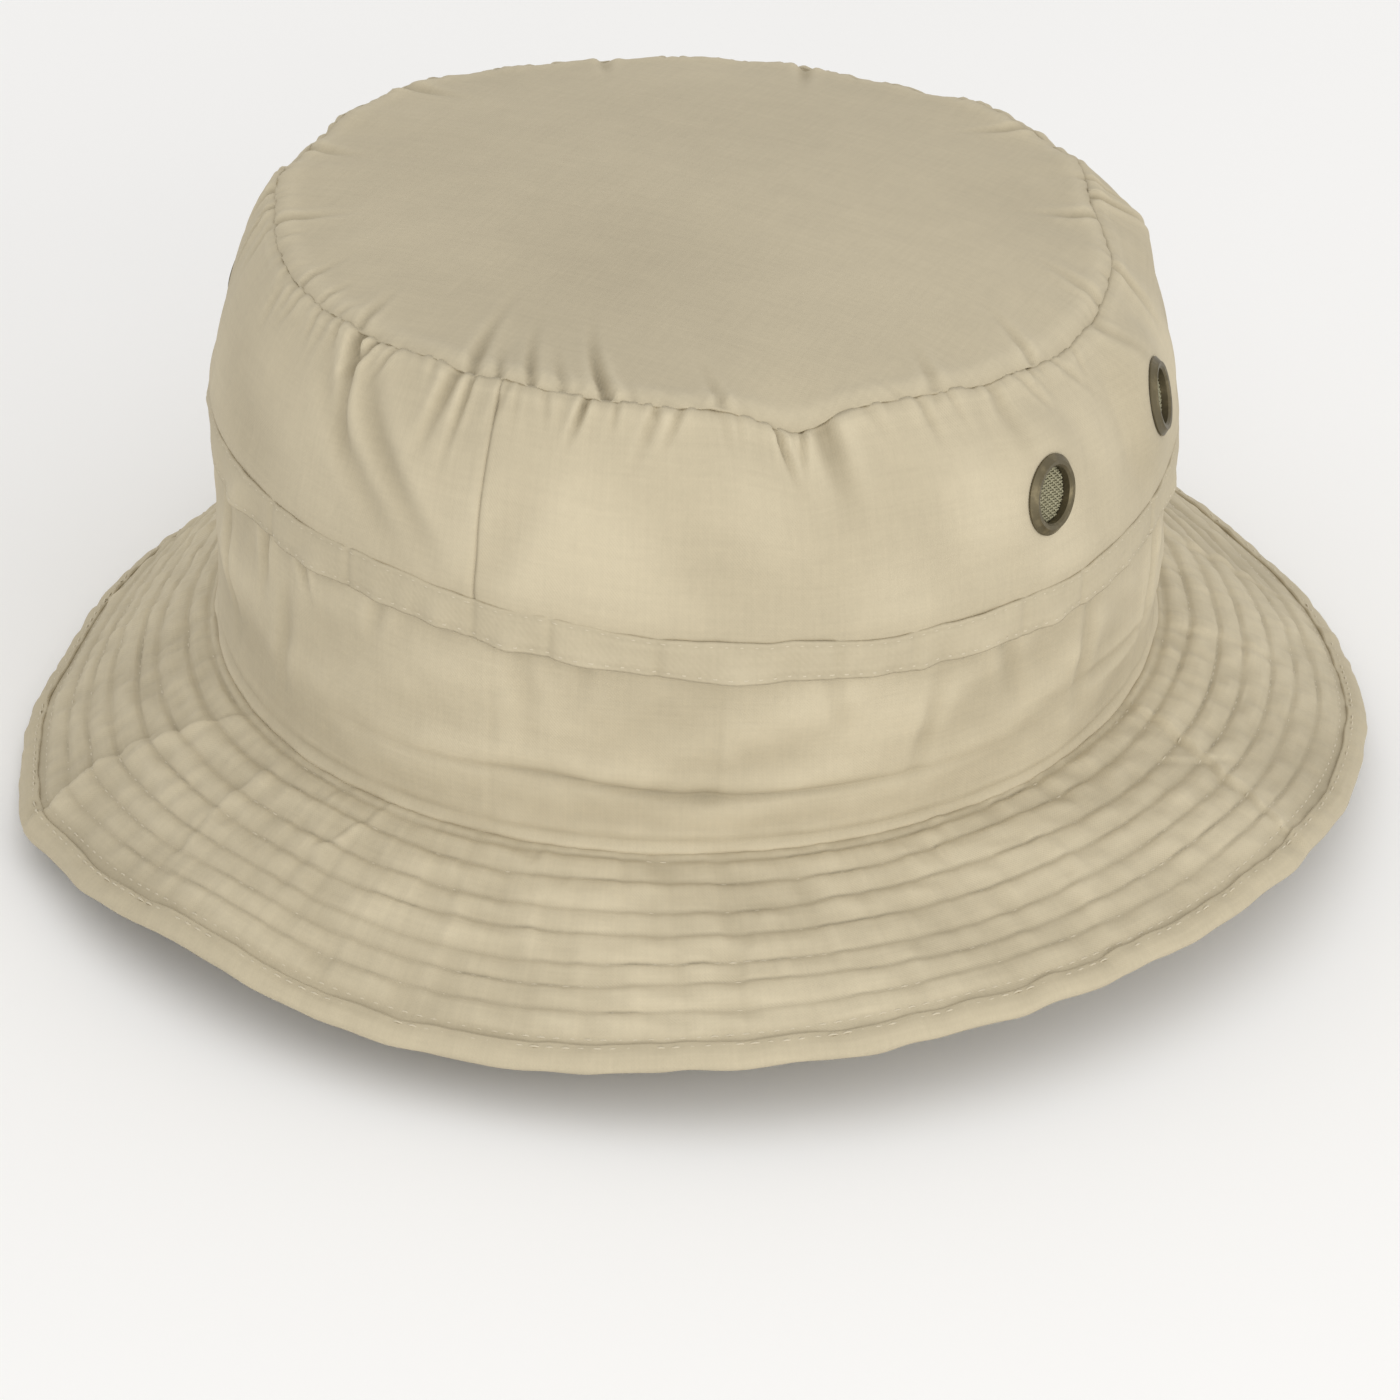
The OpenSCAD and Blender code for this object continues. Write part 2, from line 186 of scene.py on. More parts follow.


# %% [markdown]
# ## From numbers to meshes
#
# Every piece of cloth is a surface with two parameters, worked out for a whole grid of points
# at once.  One helper turns such a grid into a mesh.  It can close the grid on itself in
# either direction, leave out the faces under a hole, and keep two things for the material:
# where each point lay on the flat cloth (a UV map) and how deep it sits in a fold.  From that
# depth the material paints shade into the folds and light on to the ridges.

# %% Grid to mesh
def cloth_mesh(name, grid, flat, closed_u=False, closed_v=False, fold=None, keep=None, flip=False):
    """Quads between neighbours of a (U, V, 3) grid; flat is (U, V, 2) in metres of cloth."""
    nu, nv = grid.shape[:2]
    i = np.arange(nu if closed_u else nu - 1)
    j = np.arange(nv if closed_v else nv - 1)
    i, j = (a.ravel() for a in np.meshgrid(i, j, indexing="ij"))
    i2, j2 = (i + 1) % nu, (j + 1) % nv
    quads = np.stack([i * nv + j, i2 * nv + j, i2 * nv + j2, i * nv + j2], axis=1)
    if flip:
        quads = quads[:, ::-1]
    if keep is not None:
        quads = quads[keep.ravel()[quads].all(axis=1)]
    used, quads = np.unique(quads, return_inverse=True)
    quads = quads.reshape(-1, 4)
    mesh = bpy.data.meshes.new(name)
    mesh.from_pydata(grid.reshape(-1, 3)[used], [], quads.tolist())
    uv = flat.reshape(-1, 2)[used][quads.ravel()]
    span = np.ptp(flat.reshape(-1, 2), axis=0)
    for axis, closed in ((0, closed_u), (1, closed_v)):
        if closed:
            corner = uv[:, axis].reshape(-1, 4)
            wrapped = (corner.max(1) - corner.min(1)) > 0.5 * span[axis]
            corner[wrapped] += np.where(corner[wrapped] < corner[wrapped].mean(1, keepdims=True),
                                        span[axis] * (1 + 1 / grid.shape[axis]), 0)
            uv[:, axis] = corner.ravel()
    mesh.uv_layers.new(name="cloth").data.foreach_set("uv", uv.ravel().astype(np.float32))
    # Fold depth, from which the material paints shade in the folds and light on the ridges.
    depth = np.zeros(grid.shape[:2]) if fold is None else fold
    layer = mesh.attributes.new("fold", "FLOAT", "POINT")
    layer.data.foreach_set("value", depth.ravel()[used].astype(np.float32))
    mesh.shade_smooth()
    piece = bpy.data.objects.new(name, mesh)
    bpy.context.scene.collection.objects.link(piece)
    print(name, "quads:", len(quads))
    return piece


def thicken(piece, thickness):
    """Solidify inwards by the cloth's thickness, so that the sheet has a back and edges."""
    wall = piece.modifiers.new("thickness", "SOLIDIFY")
    wall.thickness = thickness
    wall.offset = -1.0
    return piece


def normals_of(grid):
    """Unit normals of a grid: cross product of its two central differences."""
    n = np.cross(np.gradient(grid, axis=0), np.gradient(grid, axis=1))
    return n / np.maximum(np.linalg.norm(n, axis=-1, keepdims=True), 1e-12)


# %% [markdown]
# ## Folds and gathers
#
# Where a long edge is sewn to a shorter one, the spare cloth stands up in little tucks beside
# the seam.  A tuck is a valley with a soft ridge on each side, deepest at the seam and fading
# out along a slanted line.  The large tucks are placed one by one; the many small ones come
# from a seeded list, so every run gives the same hat.

# %% Tucks
def valley(x):
    """A valley with a ridge on either side: (1 - 2 x^2) exp(-x^2), upside down."""
    return -(1 - 2 * x**2) * np.exp(-(x**2))


def tucks(t, away, places, radius):
    """Sum of tucks in mm.  away is the distance from the seam in mm; each place is
    (degrees, width, depth, length, slant), with slant the sideways drift over the length."""
    total = np.zeros_like(t)
    for degrees, width, depth, length, slant in places:
        along = np.radians(turn_gap(t, degrees)) * radius - slant * away / length
        fade = np.exp(-((away / length) ** 2)) * np.clip(away / 0.8, 0.25, 1.0)
        total += depth * valley(along / width) * fade
    return total


def small_tucks(seed, count, depth, length):
    """Seeded small tucks all the way round."""
    pick = np.random.default_rng(seed)
    return [(pick.uniform(-180, 180), pick.uniform(1.0, 2.0), depth * pick.uniform(0.2, 1.0) ** 1.5,
             length * pick.uniform(0.5, 1.5), pick.uniform(-2.5, 2.5)) for _ in range(count)]


def waves(t, up, seed, size, count=10, radius=95.0):
    """Gentle unevenness of cloth: plane sine waves in seeded directions through space, read
    at the points (radius sin t, -radius cos t, up), so they close up all the way round."""
    pick = np.random.default_rng(seed)
    total = np.zeros_like(t)
    for _ in range(count):
        way = pick.normal(size=3)
        way *= 2 * math.pi / (np.linalg.norm(way) * size * pick.uniform(0.6, 1.7))
        phase = pick.uniform(0, 6.28)
        total += np.sin(radius * (way[0] * np.sin(t) - way[1] * np.cos(t)) + way[2] * up + phase)
    return total * math.sqrt(2.0 / count)


def seam_scallop(t, away, seed):
    """Fine puckers that the stitches pull in the cloth beside a seam, in mm."""
    pull = 0.07 * np.sin(t * 190 + 3.0 * waves(t, 0 * t, seed, 40.0))
    pull = pull + 0.14 * waves(t, 0 * t, seed + 1, 4.4, 12)
    return pull * np.exp(-away / 1.5)


SIDE_RADIUS = 95.0
SIDE_TUCKS = [(-45, 2.2, 0.4, 6, 3), (-38, 1.6, 0.5, 5, -2), (-33, 1.3, 0.5, 4, 1),
              (-28, 1.4, 0.4, 4, 2), (-23.5, 2.6, 2.0, 11, 4), (-20.0, 1.5, 1.2, 5, -4),
              (-16.5, 1.3, 0.7, 4, -3), (-6.5, 2.0, 1.2, 9, -3), (-4.0, 1.2, 0.9, 9, -2),
              (1.0, 1.5, 0.5, 5, -2), (6.0, 1.4, 0.4, 4, 1), (11.5, 1.3, 1.6, 4, -2),
              (15.5, 1.1, 0.6, 3, -1), (20.5, 1.7, 0.8, 5, -3), (23.5, 1.3, 0.7, 4, -3),
              (28.5, 1.5, 0.4, 4, 1), (35.3, 1.3, 1.5, 5, 2), (38.8, 1.0, 1.0, 4, -1),
              (41.3, 3.4, 1.6, 9, 2), (55.0, 1.8, 0.5, 5, 1), (59.5, 1.4, 0.35, 4, 1),
              (67.0, 2.6, 0.7, 8, -1), (71.5, 1.6, 0.5, 5, 4), (80.0, 2.0, 0.5, 5, 5),
              (93, 2.4, 0.7, 7, 2), (109, 2.4, 0.8, 8, -3), (127, 1.8, 1.6, 9, 2),
              (133, 1.6, 1.2, 7, -3), (146, 2.8, 0.9, 9, 3), (163, 2.0, 0.7, 7, -2),
              (-168, 2.4, 0.8, 8, 2), (-150, 2.0, 0.8, 7, -3), (-131, 2.8, 0.9, 10, 2),
              (-112, 2.2, 0.7, 7, 3), (-92, 2.6, 0.8, 8, -2), (-77, 1.6, 1.3, 8, 2),
              (-70, 1.6, 1.1, 7, -3), (-65, 1.2, 1.5, 10, 2), (-60, 2.0, 0.6, 6, 2)]
TIP_TUCKS = [(-40, 1.4, 0.8, 6, -2), (-34, 1.2, 0.7, 5, -1), (-24, 1.6, 0.8, 8, -4),
             (-4.5, 2.0, 1.1, 15, -6), (-0.5, 1.3, 0.8, 6, -3), (4.0, 1.7, 1.1, 12, -6),
             (8.5, 1.6, 0.7, 9, -5), (14.0, 2.0, 1.7, 14, -7), (29, 1.8, 0.7, 9, -3),
             (58, 2.0, 0.8, 8, 2), (76, 2.0, 0.9, 9, 3), (98, 2.2, 0.8, 9, 2), (121, 2.2, 1.0, 10, -2),
             (150, 2.0, 0.9, 9, 3), (-170, 2.2, 1.0, 11, -3), (-140, 2.0, 0.9, 9, 2),
             (-108, 2.2, 0.9, 10, -2), (-84, 2.0, 0.9, 8, 3), (-60, 2.0, 1.0, 9, 2)]

# %% [markdown]
# ## The side wall
#
# The side wall is loose: it billows out above the tape and draws in at the top seam.  Between
# the two lines it follows a cubic, which stays upright low down and turns in quickly at the
# shoulder.  Around each vent the metal clamps the cloth flat, so the wall is pressed into the
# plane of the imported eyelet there, and the cloth under the barrel is cut out.

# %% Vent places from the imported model
CLAMP_DEPTH = 3.1 * MM
VENTS = ["left_front", "left_rear", "right_front", "right_rear"]


def vent_frame(place):
    """Centre of the clamped cloth's outer face, and the outward axis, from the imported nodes."""
    screen, washer = middle(f"vent_screen_{place}"), middle(f"vent_washer_{place}")
    axis = screen - washer
    axis = axis / np.linalg.norm(axis)
    return washer + axis * CLAMP_DEPTH, axis


vent_frames = {place: vent_frame(place) for place in VENTS}
print({k: np.round(c / MM, 1).tolist() for k, (c, a) in vent_frames.items()})
CLAMP_R = 7.4 * MM
RELAX_R = 17.0 * MM
BARREL_R = 5.9 * MM


def press_flat(points, below):
    """Move points near a vent along its axis into the clamped plane, easing off outwards."""
    out = points.copy()
    for centre, axis in vent_frames.values():
        gap = out - centre
        height = gap @ axis
        radius = np.linalg.norm(gap - height[..., None] * axis, axis=-1)
        near = np.clip((RELAX_R - radius) / (RELAX_R - CLAMP_R), 0, 1)
        ease = near * near * (3 - 2 * near) * (np.abs(height) < 12 * MM)
        out -= (ease * (height + below))[..., None] * axis
    return out


def clear_of_barrels(points):
    """True where a point is outside every eyelet barrel."""
    keep = np.ones(points.shape[:2], bool)
    for centre, axis in vent_frames.values():
        gap = points - centre
        height = gap @ axis
        radius = np.linalg.norm(gap - height[..., None] * axis, axis=-1)
        keep &= (radius > BARREL_R) | (np.abs(height) > 8 * MM)
    return keep


# %% The wall's surface
SIDE_STEPS = 460
SIDE_ROWS = 64
WALL_HEIGHT = 36.0


def side_wall(t, v):
    """Between the joint line and the top seam: line one times (1 - v^3) plus line two times
    v^3 across, straight up in height.  A sine billow and one ear behind the left vents push it
    outward with a low roll above the joint, and folds and tucks move it along the normal."""
    lean = (v**3)[..., None]
    low, top = joint_line(t), tip_line(t)
    points = low * (1 - lean) + top * lean
    points[..., 2] = low[..., 2] + (top[..., 2] - low[..., 2]) * v
    ear = 3.4 * bump(turn_gap(t, 126.0), 0, 10.0) * bump(v, 0.80, 0.13) * (1 - v**10)
    points += outward(t) * ((0.2 * np.sin(math.pi * v) + 1.1 * bump(v, 0.13, 0.12) + ear) * MM)[..., None]
    away = (1 - v) * WALL_HEIGHT
    drape = 1.1 * valley((turn_gap(t, -22.0) - 20.0 * (1 - v)) / 3.2) * np.exp(-(((v - 0.62) / 0.30) ** 2))
    drape += 0.8 * valley((turn_gap(t, -29.0) - 22.0 * (1 - v)) / 3.6) * np.exp(-(((v - 0.55) / 0.28) ** 2))
    drape += 0.5 * valley((turn_gap(t, 9.0) + 10.0 * (1 - v)) / 4.0) * np.exp(-(((v - 0.35) / 0.3) ** 2))
    fold = tucks(t, away, SIDE_TUCKS, SIDE_RADIUS) + tucks(t, away, SMALL_SIDE_TUCKS, SIDE_RADIUS) + drape
    fold += 0.35 * waves(t, away, 3, 30.0) * np.sin(math.pi * np.clip(v * 1.1, 0, 1))
    fold += 0.25 * bump(away, 1.4, 0.9) - 0.45 * np.exp(-away / 0.6) + seam_scallop(t, away, 41)
    fold += -0.26 * bump(turn_gap(t, 0.0) * 1.6, 0, 0.45) + 0.08 * bump(turn_gap(t, -1.0) * 1.6, 0, 0.8)
    fold += -0.26 * bump(turn_gap(t, 180.0) * 1.6, 0, 0.45)
    return points, fold


SMALL_SIDE_TUCKS = small_tucks(5, 90, 0.45, 4.0)


def build_side(name, first, last):
    t, v = np.meshgrid(np.radians(np.linspace(first, last, SIDE_STEPS)), np.linspace(0, 1, SIDE_ROWS) ** 0.85,
                       indexing="ij")
    base, fold = side_wall(t, v)
    grid = base + normals_of(base) * (fold * MM)[..., None]
    grid = press_flat(grid, 0.15 * MM)
    flat = np.stack([t * SIDE_RADIUS * MM, v * WALL_HEIGHT * MM], axis=-1)
    piece = cloth_mesh(name, grid, flat, fold=fold, keep=clear_of_barrels(grid))
    return thicken(piece, 0.9 * MM)


side_left = build_side("crown_side_left_cloth", 0.0, 180.0)
side_right = build_side("crown_side_right_cloth", -180.0, 0.0)

# %% [markdown]
# ## The oval top
#
# The top is one flat oval of cloth.  It is drawn as rings that shrink from the seam to the
# middle, so the gathers beside the seam can be followed closely while the calm middle has
# only a slight dome and a few waves.

# %% The top's surface
TIP_RINGS = 64
TIP_RADIUS = 82.0
DOME_RISE, SHOULDER_RISE, SHOULDER_REACH = 6.0, 1.7, 7.0
TIP_STEPS = 720


def crown_top(t, s):
    """s runs from 1 at the seam to 0 in the middle.  Points are the seam line scaled towards
    its centre; its dips fade with s^9, and the dome is DOME_RISE times (1 - s^2), plus a
    soft shoulder that rises SHOULDER_RISE within a finger's breadth of the seam."""
    seam = tip_line(t)
    centre = np.array([-2.0 * MM, -1.5 * MM, 0.0])
    points = centre + (seam - centre) * s[..., None]
    level = tip_plane(points[..., 0], points[..., 1])
    edge = tip_plane(seam[..., 0], seam[..., 1])
    shoulder = 1 - np.exp(-(1 - s) * TIP_RADIUS / SHOULDER_REACH)
    dome = DOME_RISE * (1 - s**2) + SHOULDER_RISE * shoulder
    points[..., 2] = level + (seam[..., 2] - edge) * s**9 + dome * MM
    away = (1 - s) * TIP_RADIUS
    fold = tucks(t, away, TIP_TUCKS, TIP_RADIUS) + tucks(t, away, SMALL_TIP_TUCKS, TIP_RADIUS)
    fold += 0.16 * waves(t, 0 * t, 8, 60.0, radius=TIP_RADIUS * s) * (1 - s**8)
    fold += 0.40 * bump(away, 2.6, 2.0) - 0.5 * np.exp(-away / 0.7) + seam_scallop(t, away, 43)
    return points, fold


SMALL_TIP_TUCKS = small_tucks(6, 80, 0.35, 3.5)
t, s = np.meshgrid(np.linspace(-math.pi, math.pi, TIP_STEPS, endpoint=False),
                   1 - np.linspace(0, 1, TIP_RINGS) ** 1.5 * 0.985, indexing="ij")
base, fold = crown_top(t, s)
grid = base + np.array([0, 0, 1.0]) * (fold * MM)[..., None]
flat = base[..., :2].copy()
crown_top_cloth = cloth_mesh("crown_top_cloth", grid, flat, closed_u=True, fold=fold)


# %% Close the middle of the top with a fan
def close_fan(piece, ring):
    """Join the innermost ring of vertices with one polygon fan to their mean point."""
    mesh = piece.data
    bm = bmesh.new()
    bm.from_mesh(mesh)
    edges = [e for e in bm.edges if e.is_boundary and e.verts[0].co.xy.length < ring]
    face = bmesh.ops.contextual_create(bm, geom=edges)["faces"]
    bmesh.ops.poke(bm, faces=face)
    for f in bm.faces:
        f.smooth = True
    bm.to_mesh(mesh)
    bm.free()


close_fan(crown_top_cloth, 8 * MM)
thicken(crown_top_cloth, 0.9 * MM)

# %% [markdown]
# ## The plain band
#
# Between the brim and the tape runs a plain band of doubled cloth.  It carries the weight of
# the crown, so it buckles: one long level wrinkle crosses the front, with the cloth standing
# proud above it, and upright folds come down from the tape.  Its lower edge is turned
# up inside, which leaves a thin rounded lip just above the brim seam.

# %% The band's surface
BAND_STEPS = 800
BAND_ROWS = 54
BAND_HEIGHT = 43.5


def band_surface(t, v):
    """Straight between the brim seam and the joint, plus folds along the normal in mm."""
    low, top = seam_line(t), joint_line(t)
    points = low * (1 - v[..., None]) + top * v[..., None]
    up = v * BAND_HEIGHT
    around = turn_gap(t, 0.0)
    wrinkle_at = 0.30 + 0.035 * np.exp(-((around - 8) / 9) ** 2) - 0.02 * bump(around, 27, 8)
    strength = np.clip(bump(around, 24, 26) * 1.15, 0, 1) * (around > -60)
    gap = (v - wrinkle_at) * BAND_HEIGHT
    fold = strength * (-1.3 * bump(gap, 0, 0.75) + 0.8 * bump(gap, 3.2, 2.8) + 0.35 * bump(gap, -3.5, 2.2))
    fold += -0.9 * bump(around, 27.5, 2.2) * bump(gap, 0.3, 1.6)
    for degrees, width, depth, centre, reach, slant in BAND_FOLDS:
        along = np.radians(around - degrees) * SIDE_RADIUS - slant * (v - centre) * BAND_HEIGHT
        fold += depth * valley(along / width) * bump(v, centre, reach)
    for degrees, centre, depth, length in BAND_BUCKLES:
        along = np.radians(turn_gap(t, degrees)) * SIDE_RADIUS
        fold += depth * valley((up - centre * BAND_HEIGHT + 0.06 * along) / 2.0) * bump(along, 0, length)
    fold += 0.40 * waves(t, up * 1.6, 21, 34.0) * np.sin(math.pi * np.clip(v * 0.94 + 0.05, 0, 1))
    fold += 0.05 * waves(t, up, 22, 7.0, 14)
    lip = 0.75 * bump(up, 1.3, 1.0) - 0.45 * bump(up, 3.1, 0.55) + 0.15 * bump(up, 4.4, 0.9)
    fold += lip * (1 + 0.25 * waves(t, 0 * up, 23, 15.0)) - 0.5 * np.exp(-up / 0.5)
    seam_dent = -0.14 * bump((around - 2.2) * 1.6, 0, 0.6) * np.clip((v - 0.04) * 12, 0, 1)
    fold += seam_dent + 0.06 * bump((around - 1.2) * 1.6, 0, 0.8)
    fold += -0.35 * bump(turn_gap(t, 180) * 1.6, 0, 0.6)
    overlap = 0.35 * (around > 28.6) * np.exp(-np.clip(around - 28.6, 0, 60) / 4.0)
    fold += overlap * bump(v, 0.55, 0.34)
    return points, fold


BAND_FOLDS = [(-34.0, 2.4, 0.9, 0.80, 0.16, 0.10), (-25.8, 2.0, 1.2, 0.90, 0.12, -0.35),
              (-29.5, 3.2, 0.6, 0.50, 0.22, 0.15), (-13.0, 2.6, 0.5, 0.86, 0.14, 0.20),
              (-47.0, 3.4, 0.9, 0.60, 0.26, -0.20), (-61.0, 3.0, 0.7, 0.72, 0.22, 0.25),
              (6.0, 3.5, 0.4, 0.72, 0.24, -0.10), (13.0, 2.6, 0.6, 0.90, 0.10, 0.15),
              (41.0, 3.2, 0.6, 0.80, 0.20, -0.15), (53.0, 3.0, 0.6, 0.55, 0.26, 0.20),
              (64.0, 3.4, 0.7, 0.78, 0.20, -0.25), (78.0, 3.2, 0.7, 0.60, 0.28, 0.10),
              (97.0, 3.6, 0.9, 0.62, 0.30, 0.20), (118.0, 3.0, 0.8, 0.74, 0.22, -0.20),
              (139.0, 3.6, 1.0, 0.55, 0.30, 0.15), (161.0, 3.0, 0.7, 0.78, 0.20, -0.15),
              (-165.0, 3.4, 0.9, 0.60, 0.28, 0.20), (-146.0, 3.0, 0.8, 0.76, 0.22, -0.20),
              (-124.0, 3.6, 1.0, 0.56, 0.30, 0.10), (-101.0, 3.0, 0.8, 0.74, 0.22, 0.20),
              (-82.0, 3.4, 0.9, 0.58, 0.28, -0.15)]
BAND_BUCKLES = [(-70, 0.42, 0.8, 16), (-112, 0.36, 0.9, 20), (-150, 0.48, 0.7, 16),
                (152, 0.34, 0.9, 20), (118, 0.46, 0.8, 16), (86, 0.36, 0.7, 14)]
t, v = np.meshgrid(np.linspace(-math.pi, math.pi, BAND_STEPS, endpoint=False),
                   np.linspace(0, 1.03, BAND_ROWS), indexing="ij")
base, band_fold = band_surface(t, v)
grid = base + outward(t) * (band_fold * MM)[..., None]
flat = np.stack([t * SIDE_RADIUS * MM, v * BAND_HEIGHT * MM], axis=-1)
hatband_cloth = cloth_mesh("hatband_cloth", grid, flat, closed_u=True, fold=band_fold)
thicken(hatband_cloth, 1.0 * MM)

# %% [markdown]
# ## The loop tape
#
# A narrow folded tape covers the joint.  It is tacked down every so often and left loose
# between the tacks, so that twigs can be pushed under it.  A loose stretch bows out a little
# and its lower edge gapes, which is what throws the small dark shadows under it.

# %% The tape's surface
TAPE_STEPS = 1400
TAPE_ROWS = 15
TACKS = [-165, -143, -121, -99, -77, -55, -31, -17, 0, 9, 21, 41, 50, 65, 75, 92, 112, 133, 154, 176]
GAPES = [(-40, 3.2, 2.4), (-22.5, 2.4, 1.6), (-12.5, 1.4, 0.9), (-8.5, 1.3, 0.8), (-4, 1.6, 1.1),
         (4, 1.8, 1.2), (13, 2.4, 1.5), (29.5, 3.0, 2.0), (59.5, 2.6, 1.5), (70, 2.0, 1.3),
         (80, 1.7, 1.2), (85, 1.5, 1.1), (102, 3.0, 1.6), (122, 3.2, 2.0), (144, 3.0, 1.7),
         (166, 3.2, 1.8), (-172, 2.2, 1.3), (-154, 3.0, 1.9), (-132, 3.2, 1.7), (-110, 3.0, 2.0),
         (-88, 3.2, 1.7), (-66, 3.0, 1.8), (-48, 2.0, 1.2)]


def tape_section(w):
    """Profile across the tape: flat in the middle, dipping along the two stitch rows, with
    rounded edges; w is -1 at the lower edge and 1 at the upper."""
    edge = np.abs(w)
    return 0.62 - 0.32 * bump(edge, 0.76, 0.09) - 0.30 * np.clip((edge - 0.9) / 0.1, 0, 1) ** 2


def tape_surface(t, w):
    """A strip along the joint line; out is its height off the band in mm."""
    line = joint_line(t)
    n = outward(t)
    around = turn_gap(t, 0.0)
    gape = sum(0.55 * size * bump(turn_gap(t, degrees), 0, width) for degrees, width, size in GAPES)
    gape = gape + 0.12 * np.abs(waves(t, 0 * t, 31, 18.0))
    lift = gape * np.clip(0.5 - 0.62 * w, 0, 1) ** 1.4
    wander = 0.30 * waves(t, 0 * t, 33, 42.0) + 0.08 * waves(t, 0 * t, 34, 9.0)
    edge_wander = 0.14 * waves(t, 0 * t, 35, 12.0) * (w < 0) + 0.14 * waves(t, 0 * t, 36, 16.0) * (w > 0)
    up = TAPE_HALF / MM * w * (1 + 0.02 * wander) + wander + edge_wander * np.abs(w)
    out = 0.80 + tape_section(w) + lift + 0.10 * waves(t, up, 37, 8.0)
    for tack in TACKS:
        out -= 0.35 * bump(np.radians(turn_gap(t, tack)) * SIDE_RADIUS, 0, 0.9)
    points = line + n * (out * MM)[..., None]
    points[..., 2] += (up - TAPE_DROP) * MM
    return points, out - 1.6


t, w = np.meshgrid(np.linspace(-math.pi, math.pi, TAPE_STEPS, endpoint=False), np.linspace(-1, 1, TAPE_ROWS),
                   indexing="ij")
grid, tape_fold = tape_surface(t, w)
flat = np.stack([t * SIDE_RADIUS * MM, w * TAPE_HALF], axis=-1)
# The tape's height off the band, less 1.6 mm and halved, is its fold depth, so the material paints the tacks
# darker as painted shade and the lifted loose stretches paler as painted light.
loop_tape_cloth = cloth_mesh("loop_tape_cloth", grid, flat, closed_u=True, fold=tape_fold * 0.5)
thicken(loop_tape_cloth, 0.7 * MM)

# %% [markdown]
# ## The brim
#
# The brim is a wide ring of three plies.  Rows of machine stitching run round it, a presser
# foot apart, and they quilt the plies together: the cloth puffs a little between two rows.
# It should be stiff and even, but after washing and wearing it falls in soft waves, and sharp
# creases cross the rows where it was folded.

# %% The brim's fall
BRIM_WIDTH = 45.5
ROWS = np.array([2.0, 6.9, 13.3, 18.7, 24.6, 29.5, 34.4, 39.3])
BRIM_STEPS = 960
BRIM_ACROSS = 88


def brim_slope(t):
    """Slope of the brim below the level, in degrees: a few harmonics of t, and a little
    more at the back, where the weight of the cloth pulls it to the table."""
    slope = 23.8 + 0.6 * np.cos(t) - 7.0 * np.sin(t) - 3.2 * np.cos(2 * t) - 4.2 * np.sin(2 * t)
    slope += 1.9 * np.cos(3 * t) + 5.6 * np.sin(3 * t)
    return slope + 7.0 * bump(turn_gap(t, 180.0), 0, 40.0)


BRIM_LIFTS = [(-18.0, 11.0, 2.6), (27.0, 10.0, 1.2), (46.0, 13.0, 0.9), (143.0, 17.0, -2.2),
              (-112.0, 13.0, -1.8)]
BRIM_REACH = [(-18.0, 11.0, -1.4), (-102.0, 9.0, -5.0), (-76.0, 24.0, -3.2), (-42.0, 4.5, 1.8),
              (131.0, 9.0, 1.4)]


def smooth_floor(x, floor, soft):
    """x where it is well above the floor, easing on to the floor below it."""
    return floor + soft * np.logaddexp(0, (x - floor) / soft)


def brim_middle(t, u):
    """The brim's middle sheet: out along the level normal and down the slope, u in mm.
    Each lift and reach is (degrees, width, mm) and grows in proportion to u."""
    slope = np.radians(brim_slope(t))
    n = outward(t)
    seam = seam_line(t)
    share = u / BRIM_WIDTH
    curve = 1.6 * share * (1 - share)
    lift = sum(size * bump(turn_gap(t, degrees), 0, width) for degrees, width, size in BRIM_LIFTS)
    reach = sum(size * bump(turn_gap(t, degrees), 0, width) for degrees, width, size in BRIM_REACH)
    points = seam + n * ((u * np.cos(slope) + reach * share) * MM)[..., None]
    fall = u * np.sin(slope) - curve
    edge_z = seam[..., 2] / MM - BRIM_WIDTH * np.sin(slope) + lift
    raised = smooth_floor(edge_z, 1.4, 0.8) - edge_z
    points[..., 2] -= (fall - raised * share**2 - lift * share) * MM
    return points


